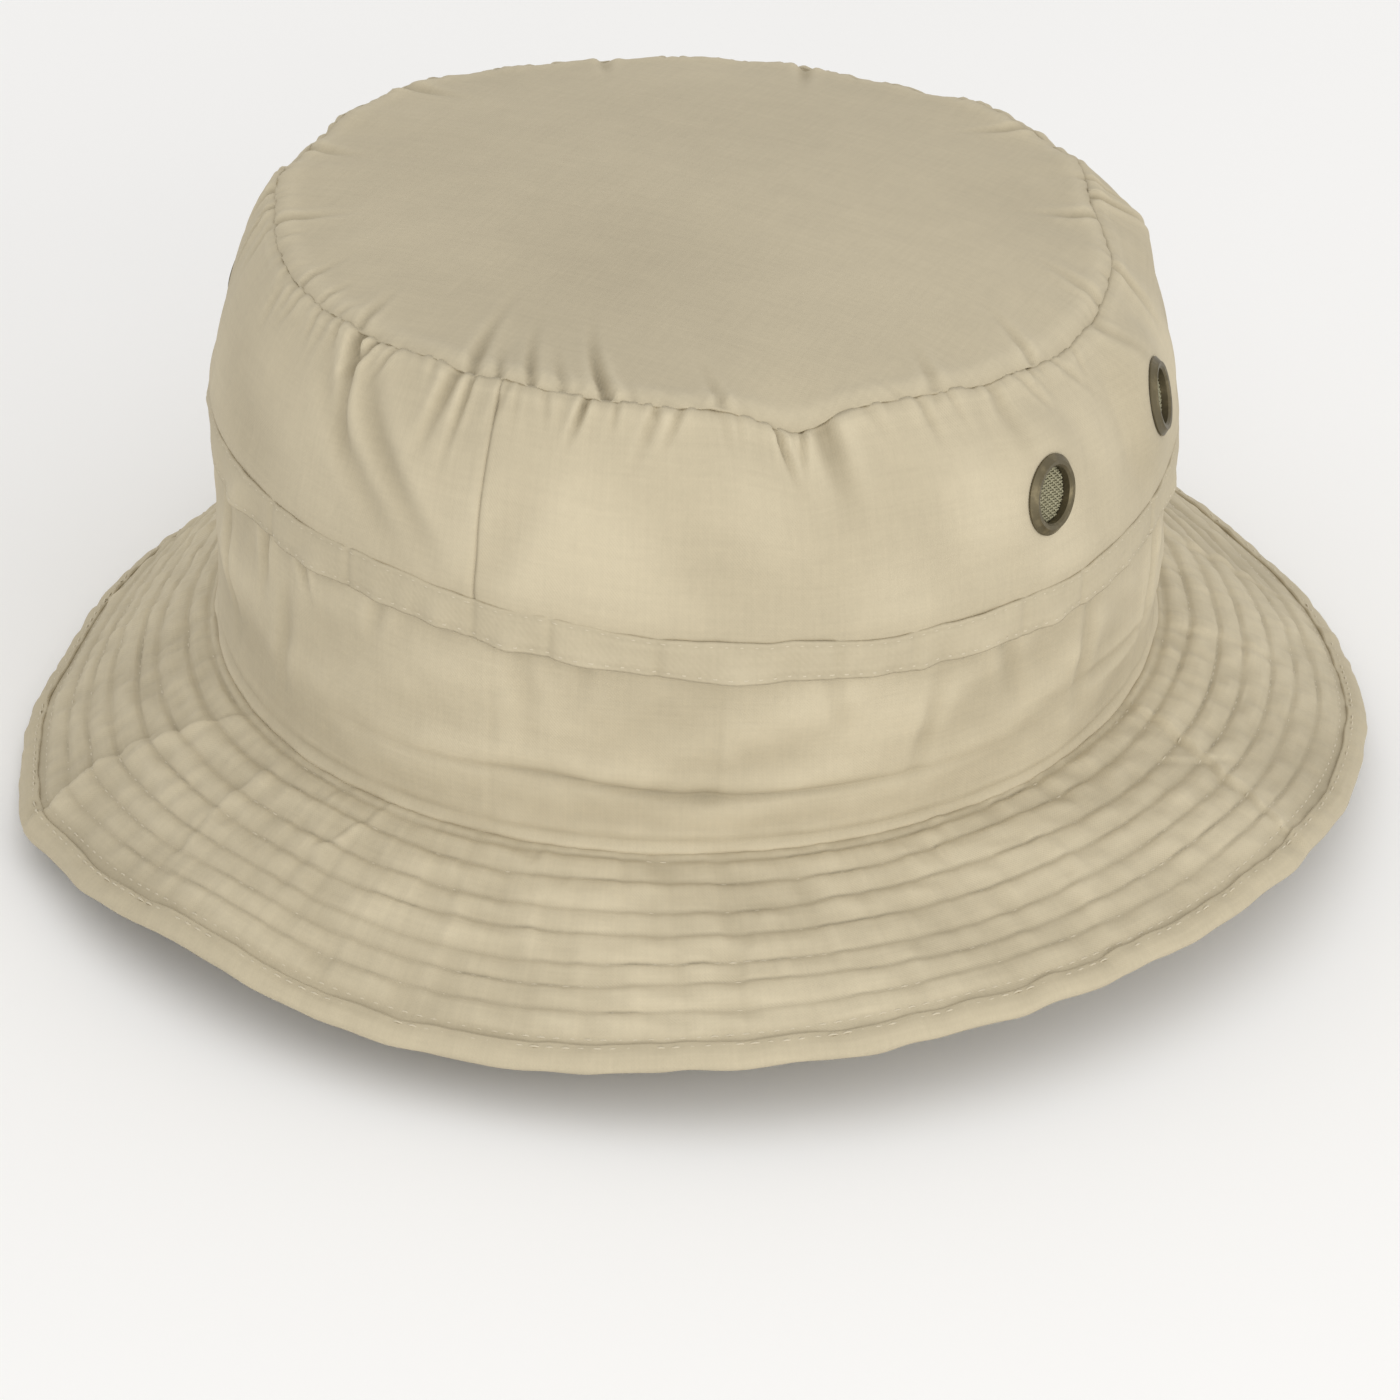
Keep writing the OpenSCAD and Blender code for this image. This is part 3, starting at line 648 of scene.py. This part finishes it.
BRIM_RADIUS = 115.0
BRIM_CREASES = [
    # degrees at the seam side, degrees at the edge side, start, end, reach mm, height mm
    (-37.5, -42.0, 0.04, 0.40, 5.0, 0.9), (-42.5, -44.0, 0.34, 0.66, 4.5, 1.1),
    (-43.5, -41.0, 0.62, 1.02, 5.0, 1.3), (-27.5, -25.2, 0.08, 0.76, 2.2, 0.85),
    (-10.5, -14.0, 0.02, 0.34, 2.0, 0.85), (-17.0, -18.5, 0.03, 0.16, 2.0, 0.4),
    (1.0, 2.8, 0.02, 0.58, 1.0, 0.28), (9.0, 8.0, 0.03, 0.14, 1.6, 0.35),
    (13.0, 12.2, 0.03, 0.20, 1.8, 0.4), (89.5, 86.5, 0.02, 0.36, 2.6, 0.9),
    (87.5, 84.0, 0.28, 0.62, 3.0, 1.0), (85.2, 81.8, 0.50, 0.98, 2.8, 0.9),
    (82.5, 88.5, 0.26, 0.54, 2.4, 0.75), (31.0, 29.0, 0.30, 0.62, 2.6, 0.25),
    (48.0, 51.0, 0.04, 0.30, 2.4, 0.3), (62.0, 59.0, 0.40, 0.80, 3.0, 0.3),
    (-57.0, -59.0, 0.04, 0.40, 3.0, 0.4), (-71.0, -67.5, 0.20, 0.75, 3.0, 0.5),
    (108.0, 111.0, 0.05, 0.55, 3.0, 0.5), (131.0, 127.5, 0.15, 0.85, 3.4, 0.7),
    (153.0, 155.0, 0.04, 0.45, 3.0, 0.5), (175.0, 171.5, 0.10, 0.70, 3.4, 0.6),
    (-158.0, -161.5, 0.05, 0.60, 3.0, 0.6), (-134.0, -130.0, 0.10, 0.80, 3.6, 0.8),
    (-110.0, -113.0, 0.04, 0.50, 3.0, 0.5), (-91.0, -87.0, 0.20, 0.90, 3.2, 0.6)]


def pleat(x, reach):
    """A lapped edge: it steps up at x = 0 and sinks back over the reach, with a shallower
    trough on the low side."""
    step = 1 / (1 + np.exp(-np.clip(x / 0.28, -40, 40)))
    high = step * np.exp(-np.clip(x, 0, None) / reach)
    return high - 0.55 * (1 - step) * np.exp(np.clip(x, None, 0) / (0.45 * reach))


def brim_creases(t, u):
    """Lapped creases along short runs across the brim, in mm.  A run wanders from side to
    side, and fades at both ends."""
    share = u / BRIM_WIDTH
    total = np.zeros_like(t)
    for first, last, start, end, reach, depth in BRIM_CREASES:
        along = np.clip((share - start) / (end - start), -0.5, 1.5)
        line = first + (last - first) * along + 0.12 * np.sin(share * 46 + first)
        line = line + 0.3 * np.sin(share * 13 + last)
        side = np.radians(turn_gap(t, 0) - line) * (SIDE_RADIUS + u)
        middle_share, half = (start + end) / 2, (end - start) / 2
        total += depth * pleat(side, reach) * np.exp(-np.abs((share - middle_share) / half) ** 4)
    return total


def row_place(k, t):
    """Distance of stitch row k from the seam in mm, wandering a little with t."""
    pick = np.random.default_rng(400 + k)
    wander = sum(pick.uniform(0.05, 0.24) * np.sin(pick.integers(1, 11) * t + pick.uniform(0, 6.28))
                 for _ in range(7))
    return ROWS[k] + wander


def brim_quilt(t, u, seed):
    """Height of the quilting in mm: the cloth dips at each row and leans up behind it like
    a shingle, and fine puckers run across between the rows."""
    places = [row_place(k, t) for k in range(len(ROWS))]
    stops = [np.zeros_like(t)] + places + [np.full_like(t, BRIM_WIDTH)]
    puff = np.zeros_like(t)
    for low, high in zip(stops[:-1], stops[1:]):
        s = np.clip((u - low) / (high - low), 0, 1)
        inside = (u >= low) & (u < high) & (high < BRIM_WIDTH)
        hill = 0.95 * np.sqrt(np.sin(math.pi * s**0.72).clip(0, 1))
        puff += inside * (hill * np.clip((high - low) / 5.5, 0.5, 1.15))
    pucker = waves(t, u * 0.45, seed, 4.2, 12, BRIM_RADIUS) * 0.12
    pucker = pucker + waves(t, u * 0.3, seed + 1, 9.0, 12, BRIM_RADIUS) * 0.09
    uneven = 1.0 + 0.12 * waves(t, u * 2.2, seed + 2, 9.0, 12, BRIM_RADIUS)
    return puff * uneven + pucker * np.clip(puff * 2, 0, 1)


def brim_normal(t, u):
    """Upward unit normal of the middle sheet: outward difference times sideways difference."""
    side = brim_middle(t + 0.004, u) - brim_middle(t - 0.004, u)
    out = brim_middle(t, u + 0.4) - brim_middle(t, u - 0.4)
    n = np.cross(out, side)
    return n / np.linalg.norm(n, axis=-1, keepdims=True)


def brim_fold(t, u):
    """Creases plus slow waves, in mm along the normal."""
    return brim_creases(t, u) + 0.28 * waves(t, u * 1.2, 51, 46.0, radius=BRIM_RADIUS) * np.clip(u / 8, 0, 1)


def brim_sheet(t, u, height):
    """The middle sheet moved along its normal by its folds and by a height in mm."""
    return brim_middle(t, u) + brim_normal(t, u) * ((brim_fold(t, u) + height) * MM)[..., None]


# %% The brim's plies
def loop_section(upper, lower):
    """One closed loop of points across the brim: out along the top and back underneath."""
    return np.concatenate([upper, lower[:, ::-1]], axis=1)


ring_t = np.linspace(-math.pi, math.pi, BRIM_STEPS, endpoint=False)
PLY_EDGE = BRIM_WIDTH - 1.2


def brim_loop(name, steps, across_top, across_under, height_top, height_under, first_u):
    """A ring of one ply: the top face out to the edge and the under face back again.
    A height is a number in mm, or a function of t and u that gives one."""
    faces, flats, deeps = [], [], []
    for across, height in ((across_top, height_top), (across_under, height_under)):
        t, u = np.meshgrid(ring_t[::steps], np.linspace(first_u, PLY_EDGE, across), indexing="ij")
        h = height(t, u) if callable(height) else np.full_like(t, height)
        faces.append(brim_sheet(t, u, h))
        flats.append(np.stack([t * 115 * MM, u * MM], axis=-1))
        # The quilting height joins the fold depth, so the material paints the stitch rows darker as painted
        # shade and the puffs paler as painted light.
        deeps.append(brim_fold(t, u) + (np.abs(h) - 1.4 if callable(height) else 0))
    return cloth_mesh(name, loop_section(*faces), loop_section(*flats), closed_u=True, closed_v=True,
                      fold=loop_section(*deeps), flip=True)


brim_upper_cloth = brim_loop("brim_upper_cloth", 1, BRIM_ACROSS, 12,
                             lambda t, u: 0.85 + brim_quilt(t, u, 61), 0.50, -0.8)
brim_core_cloth = brim_loop("brim_core_cloth", 2, 12, 12, 0.40, -0.40, 0.6)
brim_lower_cloth = brim_loop("brim_lower_cloth", 2, 12, 64, -0.55,
                             lambda t, u: -0.95 - 0.8 * brim_quilt(t, u, 71), 0.2)

# %% [markdown]
# ## The turned edge
#
# A folded strip wraps the raw edge of the three plies.  It is a short U in section: over the
# top, round the edge and back underneath, with the thickness of the cloth itself.

# %% The edge strip
EDGE_RADIUS = 135.0
EDGE_WIDTH = 4.7
EDGE_ROUND = 1.3


def edge_strip(t, p, inset):
    """p runs from the inner edge on top (0), round the fold (0.5) to the inner edge below
    (1); inset moves the path inwards by the cloth's thickness, in mm."""
    half = EDGE_ROUND - inset
    flat_run = EDGE_WIDTH - EDGE_ROUND
    turn = np.clip((p - 0.36) / 0.28, 0, 1) * math.pi
    top_part = np.clip(1 - p / 0.36, 0, 1)
    under_part = np.clip((p - 0.64) / 0.36, 0, 1)
    ripple = 0.16 * waves(t, 0 * t, 83, 13.0, 12, EDGE_RADIUS)
    u = BRIM_WIDTH - EDGE_ROUND + half * np.sin(turn) - flat_run * (top_part + under_part) + ripple
    ease = top_part + under_part
    puff = 0.35 * np.sin(math.pi * np.clip(ease, 0, 1) ** 0.7).clip(0, 1)
    puff = puff + 0.13 * waves(t, u, 81, 5.5, 12, EDGE_RADIUS)
    w = (half + puff * (1 - inset)) * np.cos(turn)
    return brim_sheet(t, u, w)


t, p = np.meshgrid(ring_t, np.linspace(0, 1, 30), indexing="ij")
outer_wall = edge_strip(t, p, 0.0)
inner_wall = edge_strip(t, p, 0.6)
flat = np.stack([t * 135 * MM, p * 11 * MM], axis=-1)
brim_edge_cloth = cloth_mesh("brim_edge_cloth", loop_section(outer_wall, inner_wall),
                             loop_section(flat, flat), closed_u=True, closed_v=True, flip=True)

# %% [markdown]
# ## The sweatband
#
# Inside, a ribbed cotton strip is sewn in at the brim seam and stands up loose.  It follows
# the band's own folds a millimetre inside it, because the head presses the two together.

# %% The sweatband's surface
SWEAT_HEIGHT = 31.5


def sweat_face(t, v, inside):
    """The band's surface moved inwards, in mm; v is the share of the sweatband's height."""
    points, fold = band_surface(t, v * SWEAT_HEIGHT / BAND_HEIGHT)
    loose = 0.5 * v + 0.25 * waves(t, v * 9, 91, 30.0) * v
    return points + outward(t) * ((np.minimum(fold, 0.6) - 1.9 - loose - inside) * MM)[..., None]


t, v = np.meshgrid(np.linspace(-math.pi, math.pi, 600, endpoint=False), np.linspace(0, 1, 26), indexing="ij")
flat = np.stack([t * 92 * MM, v * SWEAT_HEIGHT * MM], axis=-1)
sweatband_cloth = cloth_mesh("sweatband_cloth", loop_section(sweat_face(t, v, 0.0), sweat_face(t, v, 0.9)),
                             loop_section(flat, flat), closed_u=True, closed_v=True)

# %% [markdown]
# ## Stitches
#
# A lockstitch shows as a row of short threads, each going down into the cloth at both ends.
# Each one is a small five-sided bead, bowed over the cloth, and all the beads of a row are
# made at once from the points, directions and normals along it.

# %% Beads along a line
BEAD_SIDES = 5
BEAD_STOPS = np.array([-1.0, -0.62, 0.0, 0.62, 1.0])


def even_stops(path, normal, pitch):
    """Points, directions and normals at even steps of pitch metres along a closed path."""
    ring = np.concatenate([path, path[:1]])
    length = np.concatenate([[0], np.cumsum(np.linalg.norm(np.diff(ring, axis=0), axis=1))])
    count = int(round(length[-1] / pitch))
    at = (np.arange(count) + 0.5) * length[-1] / count
    points = np.stack([np.interp(at, length, ring[:, k]) for k in range(3)], axis=1)
    ahead = np.stack([np.interp(at + 0.25 * pitch, length, ring[:, k]) for k in range(3)], axis=1)
    ring_n = np.concatenate([normal, normal[:1]])
    n = np.stack([np.interp(at, length, ring_n[:, k]) for k in range(3)], axis=1)
    direction = ahead - points
    direction /= np.linalg.norm(direction, axis=1, keepdims=True)
    n -= (n * direction).sum(1, keepdims=True) * direction
    return points, direction, n / np.linalg.norm(n, axis=1, keepdims=True)


def beads(name, rows, length, radius, lift):
    """Bowed five-sided beads: the axis is c + d s L/2 + n (lift - bow s^2), and the radius
    shrinks to nothing at both ends."""
    c, d, n = (np.concatenate(parts) for parts in zip(*rows))
    side = np.cross(d, n)
    s = BEAD_STOPS
    axis = c[:, None] + d[:, None] * (s * length / 2)[None, :, None]
    axis = axis + n[:, None] * (lift - 2.0 * radius * s**2)[None, :, None]
    turn = np.arange(BEAD_SIDES) * 2 * math.pi / BEAD_SIDES
    size = radius * np.sqrt(1.0 - 0.93 * s**2)
    ring = (side[:, None, None] * np.cos(turn)[None, None, :, None]
            + n[:, None, None] * np.sin(turn)[None, None, :, None])
    points = axis[:, :, None] + ring * size[None, :, None, None]
    count, stops = len(c), len(s)
    ids = np.arange(count * stops * BEAD_SIDES).reshape(count, stops, BEAD_SIDES)
    around = np.roll(ids, -1, axis=2)
    quads = np.stack([ids[:, :-1], around[:, :-1], around[:, 1:], ids[:, 1:]], axis=-1).reshape(-1, 4)
    ends = np.concatenate([ids[:, 0, ::-1], ids[:, -1]])
    mesh = bpy.data.meshes.new(name)
    mesh.from_pydata(points.reshape(-1, 3), [], quads[:, ::-1].tolist() + ends[:, ::-1].tolist())
    mesh.shade_smooth()
    piece = bpy.data.objects.new(name, mesh)
    bpy.context.scene.collection.objects.link(piece)
    print(name, "beads:", count)
    return piece


# %% Rows on the brim and the tape
fine_t = np.linspace(-math.pi, math.pi, 4000, endpoint=False)
PITCH = 2.7 * MM
THREAD_LENGTH = 2.15 * MM
THREAD_RADIUS = 0.20 * MM


def brim_row(u, height):
    """Stops along the brim at u mm from the seam, on the face at a height in mm."""
    n = brim_normal(fine_t, u)
    return even_stops(brim_sheet(fine_t, u, height), n if np.mean(height) > 0 else -n, PITCH)


rows_above = [brim_row(row_place(k, fine_t), 0.92 + 0 * fine_t) for k in range(len(ROWS))]
rows_below = [brim_row(row_place(k, fine_t), -1.02 + 0 * fine_t) for k in range(len(ROWS))]
edge_row = fine_t * 0 + BRIM_WIDTH - EDGE_WIDTH + 1.0
rows_edge = [brim_row(edge_row, EDGE_ROUND + 0.2 + 0 * fine_t),
             brim_row(edge_row, -EDGE_ROUND - 0.2 + 0 * fine_t)]
brim_thread_above = beads("brim_thread_above", rows_above, THREAD_LENGTH, THREAD_RADIUS, 0.02 * MM)
brim_thread_below = beads("brim_thread_below", rows_below, THREAD_LENGTH, THREAD_RADIUS, 0.02 * MM)
brim_edge_thread = beads("brim_edge_thread", rows_edge, THREAD_LENGTH, THREAD_RADIUS, 0.02 * MM)

rows_tape = [even_stops(tape_surface(fine_t, w + 0 * fine_t)[0], outward(fine_t), PITCH)
             for w in (-0.76, 0.76)]
tape_thread = beads("tape_thread", rows_tape, THREAD_LENGTH, THREAD_RADIUS, 0.03 * MM)

# %% [markdown]
# ## Vents
#
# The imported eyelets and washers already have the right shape, so they stay and only get a
# finish.  The plain disc in each one is replaced by real wire cloth: two sets of fine wires
# that pass over and under each other.

# %% Wire cloth in a vent
WIRE_PITCH = 0.66 * MM
WIRE_RADIUS = 0.19 * MM
WIRE_STEPS = 48
SCREEN_RADIUS = 5.0 * MM


def wire_cloth(place):
    """Wires along two directions; height = plus or minus h cos(pi x / pitch), so that each
    wire passes over one neighbour and under the next."""
    node = f"vent_screen_{place}"
    centre = middle(node)
    axis = vent_frames[place][1]
    across = np.cross([0, 0, 1.0], axis)
    across /= np.linalg.norm(across)
    upward = np.cross(axis, across)
    disc = SCREEN_RADIUS
    count = int(disc / WIRE_PITCH)
    verts, quads = [], []
    turn = np.arange(4) * math.pi / 2
    for first, second, sign in ((across, upward, 1), (upward, across, -1)):
        for k in range(-count, count + 1):
            reach = math.sqrt(max(disc**2 - (k * WIRE_PITCH) ** 2, 0))
            x = np.linspace(-reach, reach, WIRE_STEPS)
            weave = sign * (-1) ** k * WIRE_RADIUS * np.cos(math.pi * x / WIRE_PITCH)
            line = centre + x[:, None] * first + k * WIRE_PITCH * second + weave[:, None] * axis
            ring = second[None] * np.cos(turn)[:, None] + axis[None] * np.sin(turn)[:, None]
            start = len(verts) * WIRE_STEPS * 4
            verts.append((line[:, None] + WIRE_RADIUS * ring[None]).reshape(-1, 3))
            ids = start + np.arange(WIRE_STEPS * 4).reshape(WIRE_STEPS, 4)
            around = np.roll(ids, -1, axis=1)
            sides = np.stack([ids[:-1], around[:-1], around[1:], ids[1:]], axis=-1).reshape(-1, 4)
            quads += sides.tolist() + [ids[0, ::-1].tolist(), ids[-1].tolist()]
    mesh = bpy.data.meshes.new(f"wire_cloth_{place}")
    mesh.from_pydata(np.concatenate(verts), [], quads)
    mesh.shade_smooth()
    piece = bpy.data.objects.new(f"wire_cloth_{place}", mesh)
    bpy.context.scene.collection.objects.link(piece)
    return piece


wire_cloths = {place: wire_cloth(place) for place in VENTS}

# %% [markdown]
# ## Finishes
#
# A finish is a small network of nodes.  One class wraps a socket, so that shader maths can be
# written as an ordinary expression; its `node` method makes every other kind of node.

# %% A socket that takes part in expressions
class Socket:
    """A shader output.  Expressions on it add Math nodes to its tree."""

    def __init__(self, tree, out):
        self.tree, self.out = tree, out

    def maths(self, operation, *values):
        """One Math node; values are numbers or Sockets."""
        n = self.tree.nodes.new("ShaderNodeMath")
        n.operation = operation
        for slot, value in zip(n.inputs, values):
            put(self.tree, slot, value)
        return Socket(self.tree, n.outputs[0])

    def __add__(self, other):
        return self.maths("ADD", self, other)

    def __sub__(self, other):
        return self.maths("SUBTRACT", self, other)

    def __rsub__(self, other):
        return self.maths("SUBTRACT", other, self)

    def __mul__(self, other):
        return self.maths("MULTIPLY", self, other)

    def __truediv__(self, other):
        return self.maths("DIVIDE", self, other)

    __radd__ = __add__
    __rmul__ = __mul__

    def sin(self):
        return self.maths("SINE", self)

    def clip(self):
        """Kept between 0 and 1."""
        return self.maths("MINIMUM", self.maths("MAXIMUM", self, 0.0), 1.0)


def put(tree, slot, value):
    """Give an input socket a number, a colour or a link."""
    if isinstance(value, Socket):
        tree.links.new(value.out, slot)
    else:
        slot.default_value = value


class Finish:
    """A material being built: node() adds any node and returns one of its outputs."""

    def __init__(self, name):
        self.material = bpy.data.materials.new(name)
        self.material.use_nodes = True
        self.tree = self.material.node_tree
        self.tree.nodes.clear()

    def node(self, kind, settings=None, out=0, **values):
        """kind is the node's type after ShaderNode; settings are set before its sockets."""
        n = self.tree.nodes.new("ShaderNode" + kind)
        for key, value in (settings or {}).items():
            setattr(n, key, value)
        for key, value in values.items():
            put(self.tree, n.inputs[int(key[1:]) if key[1:].isdigit() else key.replace("_", " ")], value)
        return Socket(self.tree, n.outputs[out]) if len(n.outputs) else None

    def mix(self, share, first, second):
        """Colour between first and second."""
        return self.node("Mix", {"data_type": "RGBA"}, out=2, i0=share, i6=first, i7=second)

    def noise(self, where, scale, detail=2.0, roughness=0.5):
        return self.node("TexNoise", Vector=where, Scale=scale, Detail=detail, Roughness=roughness)

    def done(self, **values):
        """Principled shader and output."""
        shader = self.node("BsdfPrincipled", **values)
        self.node("OutputMaterial", Surface=shader)
        return self.material


# %% [markdown]
# ## Plain cotton
#
# The cloth is a plain weave of fairly thick yarn.  Its height is the product of two sines, one
# along each yarn, so the crossings stand up like a chequerboard.  Yarns are never even: noise
# stretched along each direction makes some thicker and some lighter.  The depth of each fold is
# painted into the colour: down in its folds the cloth is painted darker and yellower, as painted
# shade, and its ridges are painted a little paler, partly as wear and partly as painted light.

# %% Cotton finish
def cotton(name, colour, yarn, bump_height=0.05 * MM, rib=False, ridge=0.10, sheen=0.05):
    """Woven cotton.  yarn is the distance between yarns in metres."""
    f = Finish(name)
    cloth = f.node("UVMap", {"uv_map": "cloth"})
    x = f.node("SeparateXYZ", Vector=cloth, out=0)
    y = Socket(f.tree, x.out.node.outputs[1])
    place = f.node("TexCoord", out=3)
    k = 2 * math.pi / yarn
    warp_noise = f.noise(f.node("CombineXYZ", X=x * (1 / yarn), Y=y * (0.05 / yarn), Z=0.0), 0.9, 2.0)
    weft_noise = f.noise(f.node("CombineXYZ", X=x * (0.05 / yarn), Y=y * (1 / yarn), Z=5.0), 0.9, 2.0)
    if rib:
        weave = (x * (k * 0.5) + y * (k * 0.5)).sin() * 0.8
    else:
        weave = (x * k).sin() * (y * k).sin()
    yarns = (warp_noise + weft_noise - 1.0)
    fine = f.noise(place, 900.0, 3.0, 0.7)
    slow = f.noise(place, 22.0, 3.0, 0.55)
    middle_size = f.noise(place, 110.0, 3.0, 0.6)
    # The fold depth below drives painted shade in the folds and painted light on the ridges.
    fold = f.node("Attribute", {"attribute_name": "fold"}, out=2)
    light = 1.0 + yarns * 0.09 + (fine - 0.5) * 0.10 + (middle_size - 0.5) * 0.10 + (slow - 0.5) * 0.12
    # Painted light on the ridges, capped at 0.08, and painted shade down in the folds.
    shade = fold * ridge
    light = light + shade.maths("MINIMUM", shade, 0.08)
    # Painted shade: deeper folds are mixed towards a darker, yellower copy of the colour.
    deep = (0.35 - fold * 0.5).clip() * 0.35
    dark = tuple(c * k2 for c, k2 in zip(colour, (0.72, 0.68, 0.60)))
    tone = f.mix(deep, (*colour, 1.0), (*dark, 1.0))
    value = f.node("CombineColor", {"mode": "RGB"}, Red=light, Green=light, Blue=light * 0.995)
    final = f.node("Mix", {"data_type": "RGBA", "blend_type": "MULTIPLY"}, out=2, i0=1.0, i6=tone, i7=value)
    height = weave * 0.5 + yarns * 1.2 + (fine - 0.5) * 0.8
    normal = f.node("Bump", Height=height, Strength=0.55, Distance=bump_height)
    coarse = f.node("Bump", Height=middle_size, Strength=0.30, Distance=0.35 * MM, Normal=normal)
    return f.done(Base_Color=final, Roughness=0.86 + (fine - 0.5) * 0.12, Normal=coarse, Sheen_Weight=sheen,
                  Sheen_Roughness=0.55, Specular_IOR_Level=0.16)


KHAKI = (0.500, 0.440, 0.318)
shell_cotton = cotton("shell_cotton", KHAKI, 0.62 * MM)
tape_cotton = cotton("tape_cotton", tuple(c * 0.97 for c in KHAKI), 0.70 * MM, rib=True)
sweat_cotton = cotton("sweat_cotton", (0.46, 0.40, 0.29), 0.80 * MM, rib=True)
core_cotton = cotton("core_cotton", (0.62, 0.58, 0.48), 0.80 * MM)

# %% [markdown]
# ## Thread
#
# Sewing thread is smoother and a little paler than the cloth.  Two twisted strands show as
# fine slanted lines, which noise on Object coordinates suggests well enough at this size.

# %% Thread finish
def thread_finish():
    f = Finish("sewing_thread")
    place = f.node("TexCoord", out=3)
    grain = f.noise(place, 2600.0, 2.0)
    slow = f.noise(place, 60.0, 2.0)
    tone = f.mix((grain * 0.6 + slow * 0.4), (0.50, 0.44, 0.32, 1), (0.60, 0.54, 0.41, 1))
    normal = f.node("Bump", Height=grain, Strength=0.5, Distance=0.05 * MM)
    return f.done(Base_Color=tone, Roughness=0.62 + (grain - 0.5) * 0.2, Normal=normal, Sheen_Weight=0.1)


sewing_thread = thread_finish()

# %% [markdown]
# ## Darkened brass and wire
#
# The eyelets are brass that has been chemically darkened to an olive brown.  The dark skin
# is thin: it rubs back to a warmer metal in patches.  The wire cloth is duller and greener.

# %% Metal finishes
def metal_finish(name, dark, worn, metallic, roughness, patch):
    f = Finish(name)
    place = f.node("TexCoord", out=3)
    patches = f.noise(place, patch, 4.0, 0.6)
    grain = f.noise(place, 3200.0, 2.0, 0.6)
    rubbed = ((patches - 0.52) * 4.0).clip()
    tone = f.mix(rubbed * 0.7, (*dark, 1), (*worn, 1))
    normal = f.node("Bump", Height=grain * 0.4 + patches, Strength=0.35, Distance=0.05 * MM)
    return f.done(Base_Color=tone, Metallic=metallic, Roughness=roughness + (grain - 0.5) * 0.2 - rubbed * 0.08,
                  Normal=normal)


antique_brass = metal_finish("antique_brass", (0.125, 0.104, 0.060), (0.23, 0.19, 0.11), 0.70, 0.48, 420.0)
dull_wire = metal_finish("dull_wire", (0.33, 0.31, 0.20), (0.48, 0.45, 0.31), 0.25, 0.58, 700.0)

# %% Every piece gets its finish, its body and the nodes that it stands for
PIECES = [
    (crown_top_cloth, shell_cotton, "khaki_cloth", ["crown_tip"]),
    (side_left, shell_cotton, "khaki_cloth", ["crown_side_left"]),
    (side_right, shell_cotton, "khaki_cloth", ["crown_side_right"]),
    (hatband_cloth, shell_cotton, "khaki_cloth", ["hatband"]),
    (loop_tape_cloth, tape_cotton, "khaki_tape", ["loop_tape"]),
    (brim_upper_cloth, shell_cotton, "khaki_cloth", ["brim_upper_ply"]),
    (brim_core_cloth, core_cotton, "interlining", ["brim_interlining"]),
    (brim_lower_cloth, shell_cotton, "khaki_cloth", ["brim_lower_ply"]),
    (brim_edge_cloth, shell_cotton, "khaki_cloth", ["brim_binding"]),
    (sweatband_cloth, sweat_cotton, "sweatband_cloth", ["sweatband"]),
    (brim_thread_above, sewing_thread, "thread", []),
    (brim_thread_below, sewing_thread, "thread", []),
    (brim_edge_thread, sewing_thread, "thread", []),
    (tape_thread, sewing_thread, "thread", []),
]
PIECES += [(wire_cloths[p], dull_wire, "screen_wire", [f"vent_screen_{p}"]) for p in VENTS]
for piece, finish, slot, nodes in PIECES:
    piece.data.materials.append(finish)
    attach(piece, "root")
    if nodes:
        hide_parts(*nodes)
for place in VENTS:
    for kind in ("eyelet", "washer"):
        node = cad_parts[f"vent_{kind}_{place}"]
        node.data.materials.clear()
        node.data.materials.append(antique_brass)

# %% [markdown]


# %% [markdown]
# ## Floor and light
#
# A pale floor and a bright, even surround keep the shadows soft.  A lamp low on the right
# gives the folds their shape, and a smaller one, lower and nearer the front, lifts their dark
# sides.

# %% Studio
LAMP_AIM_Z = 0.06
floor_mesh = bpy.data.meshes.new("studio_floor")
floor_mesh.from_pydata([(-6, -6, 0), (6, -6, 0), (6, 6, 0), (-6, 6, 0)], [], [(0, 1, 2, 3)])
floor = bpy.data.objects.new("studio_floor", floor_mesh)
bpy.context.scene.collection.objects.link(floor)
paper = Finish("pale_paper")
paper_grain = paper.noise(paper.node("TexCoord", out=3), 6.0, 2.0)
paper_tone = paper.mix(paper_grain, (0.90, 0.90, 0.90, 1), (0.92, 0.92, 0.92, 1))
floor_mesh.materials.append(paper.done(Base_Color=paper_tone, Roughness=0.9, Specular_IOR_Level=0.1))

world = bpy.data.worlds.new("studio_surround")
bpy.context.scene.world = world
world.use_nodes = True
surround = world.node_tree.nodes["Background"]
surround.inputs["Color"].default_value = (1.0, 0.99, 0.975, 1.0)
surround.inputs["Strength"].default_value = 0.93


def lamp(name, turn, rise, distance, size, power, colour=(1.0, 0.985, 0.96)):
    """A square lamp that faces the hat; turn is round from the front towards +X."""
    data = bpy.data.lights.new(name, "AREA")
    data.shape = "SQUARE"
    data.size = size
    data.energy = power
    data.color = colour
    a, e = math.radians(turn), math.radians(rise)
    way = Vector((math.sin(a) * math.cos(e), -math.cos(a) * math.cos(e), math.sin(e)))
    light = bpy.data.objects.new(name, data)
    place = Vector((0, 0, LAMP_AIM_Z)) + way * distance
    light.matrix_world = Matrix.LocRotScale(place, way.to_track_quat("Z", "Y"), None)
    bpy.context.scene.collection.objects.link(light)


lamp("key_lamp", 62.0, 18.0, 1.6, 0.9, 5.4)
lamp("front_fill", 22.0, 9.0, 1.6, 0.6, 4.6)
bpy.context.scene.view_settings.view_transform = "Standard"

bpy.context.view_layer.update()
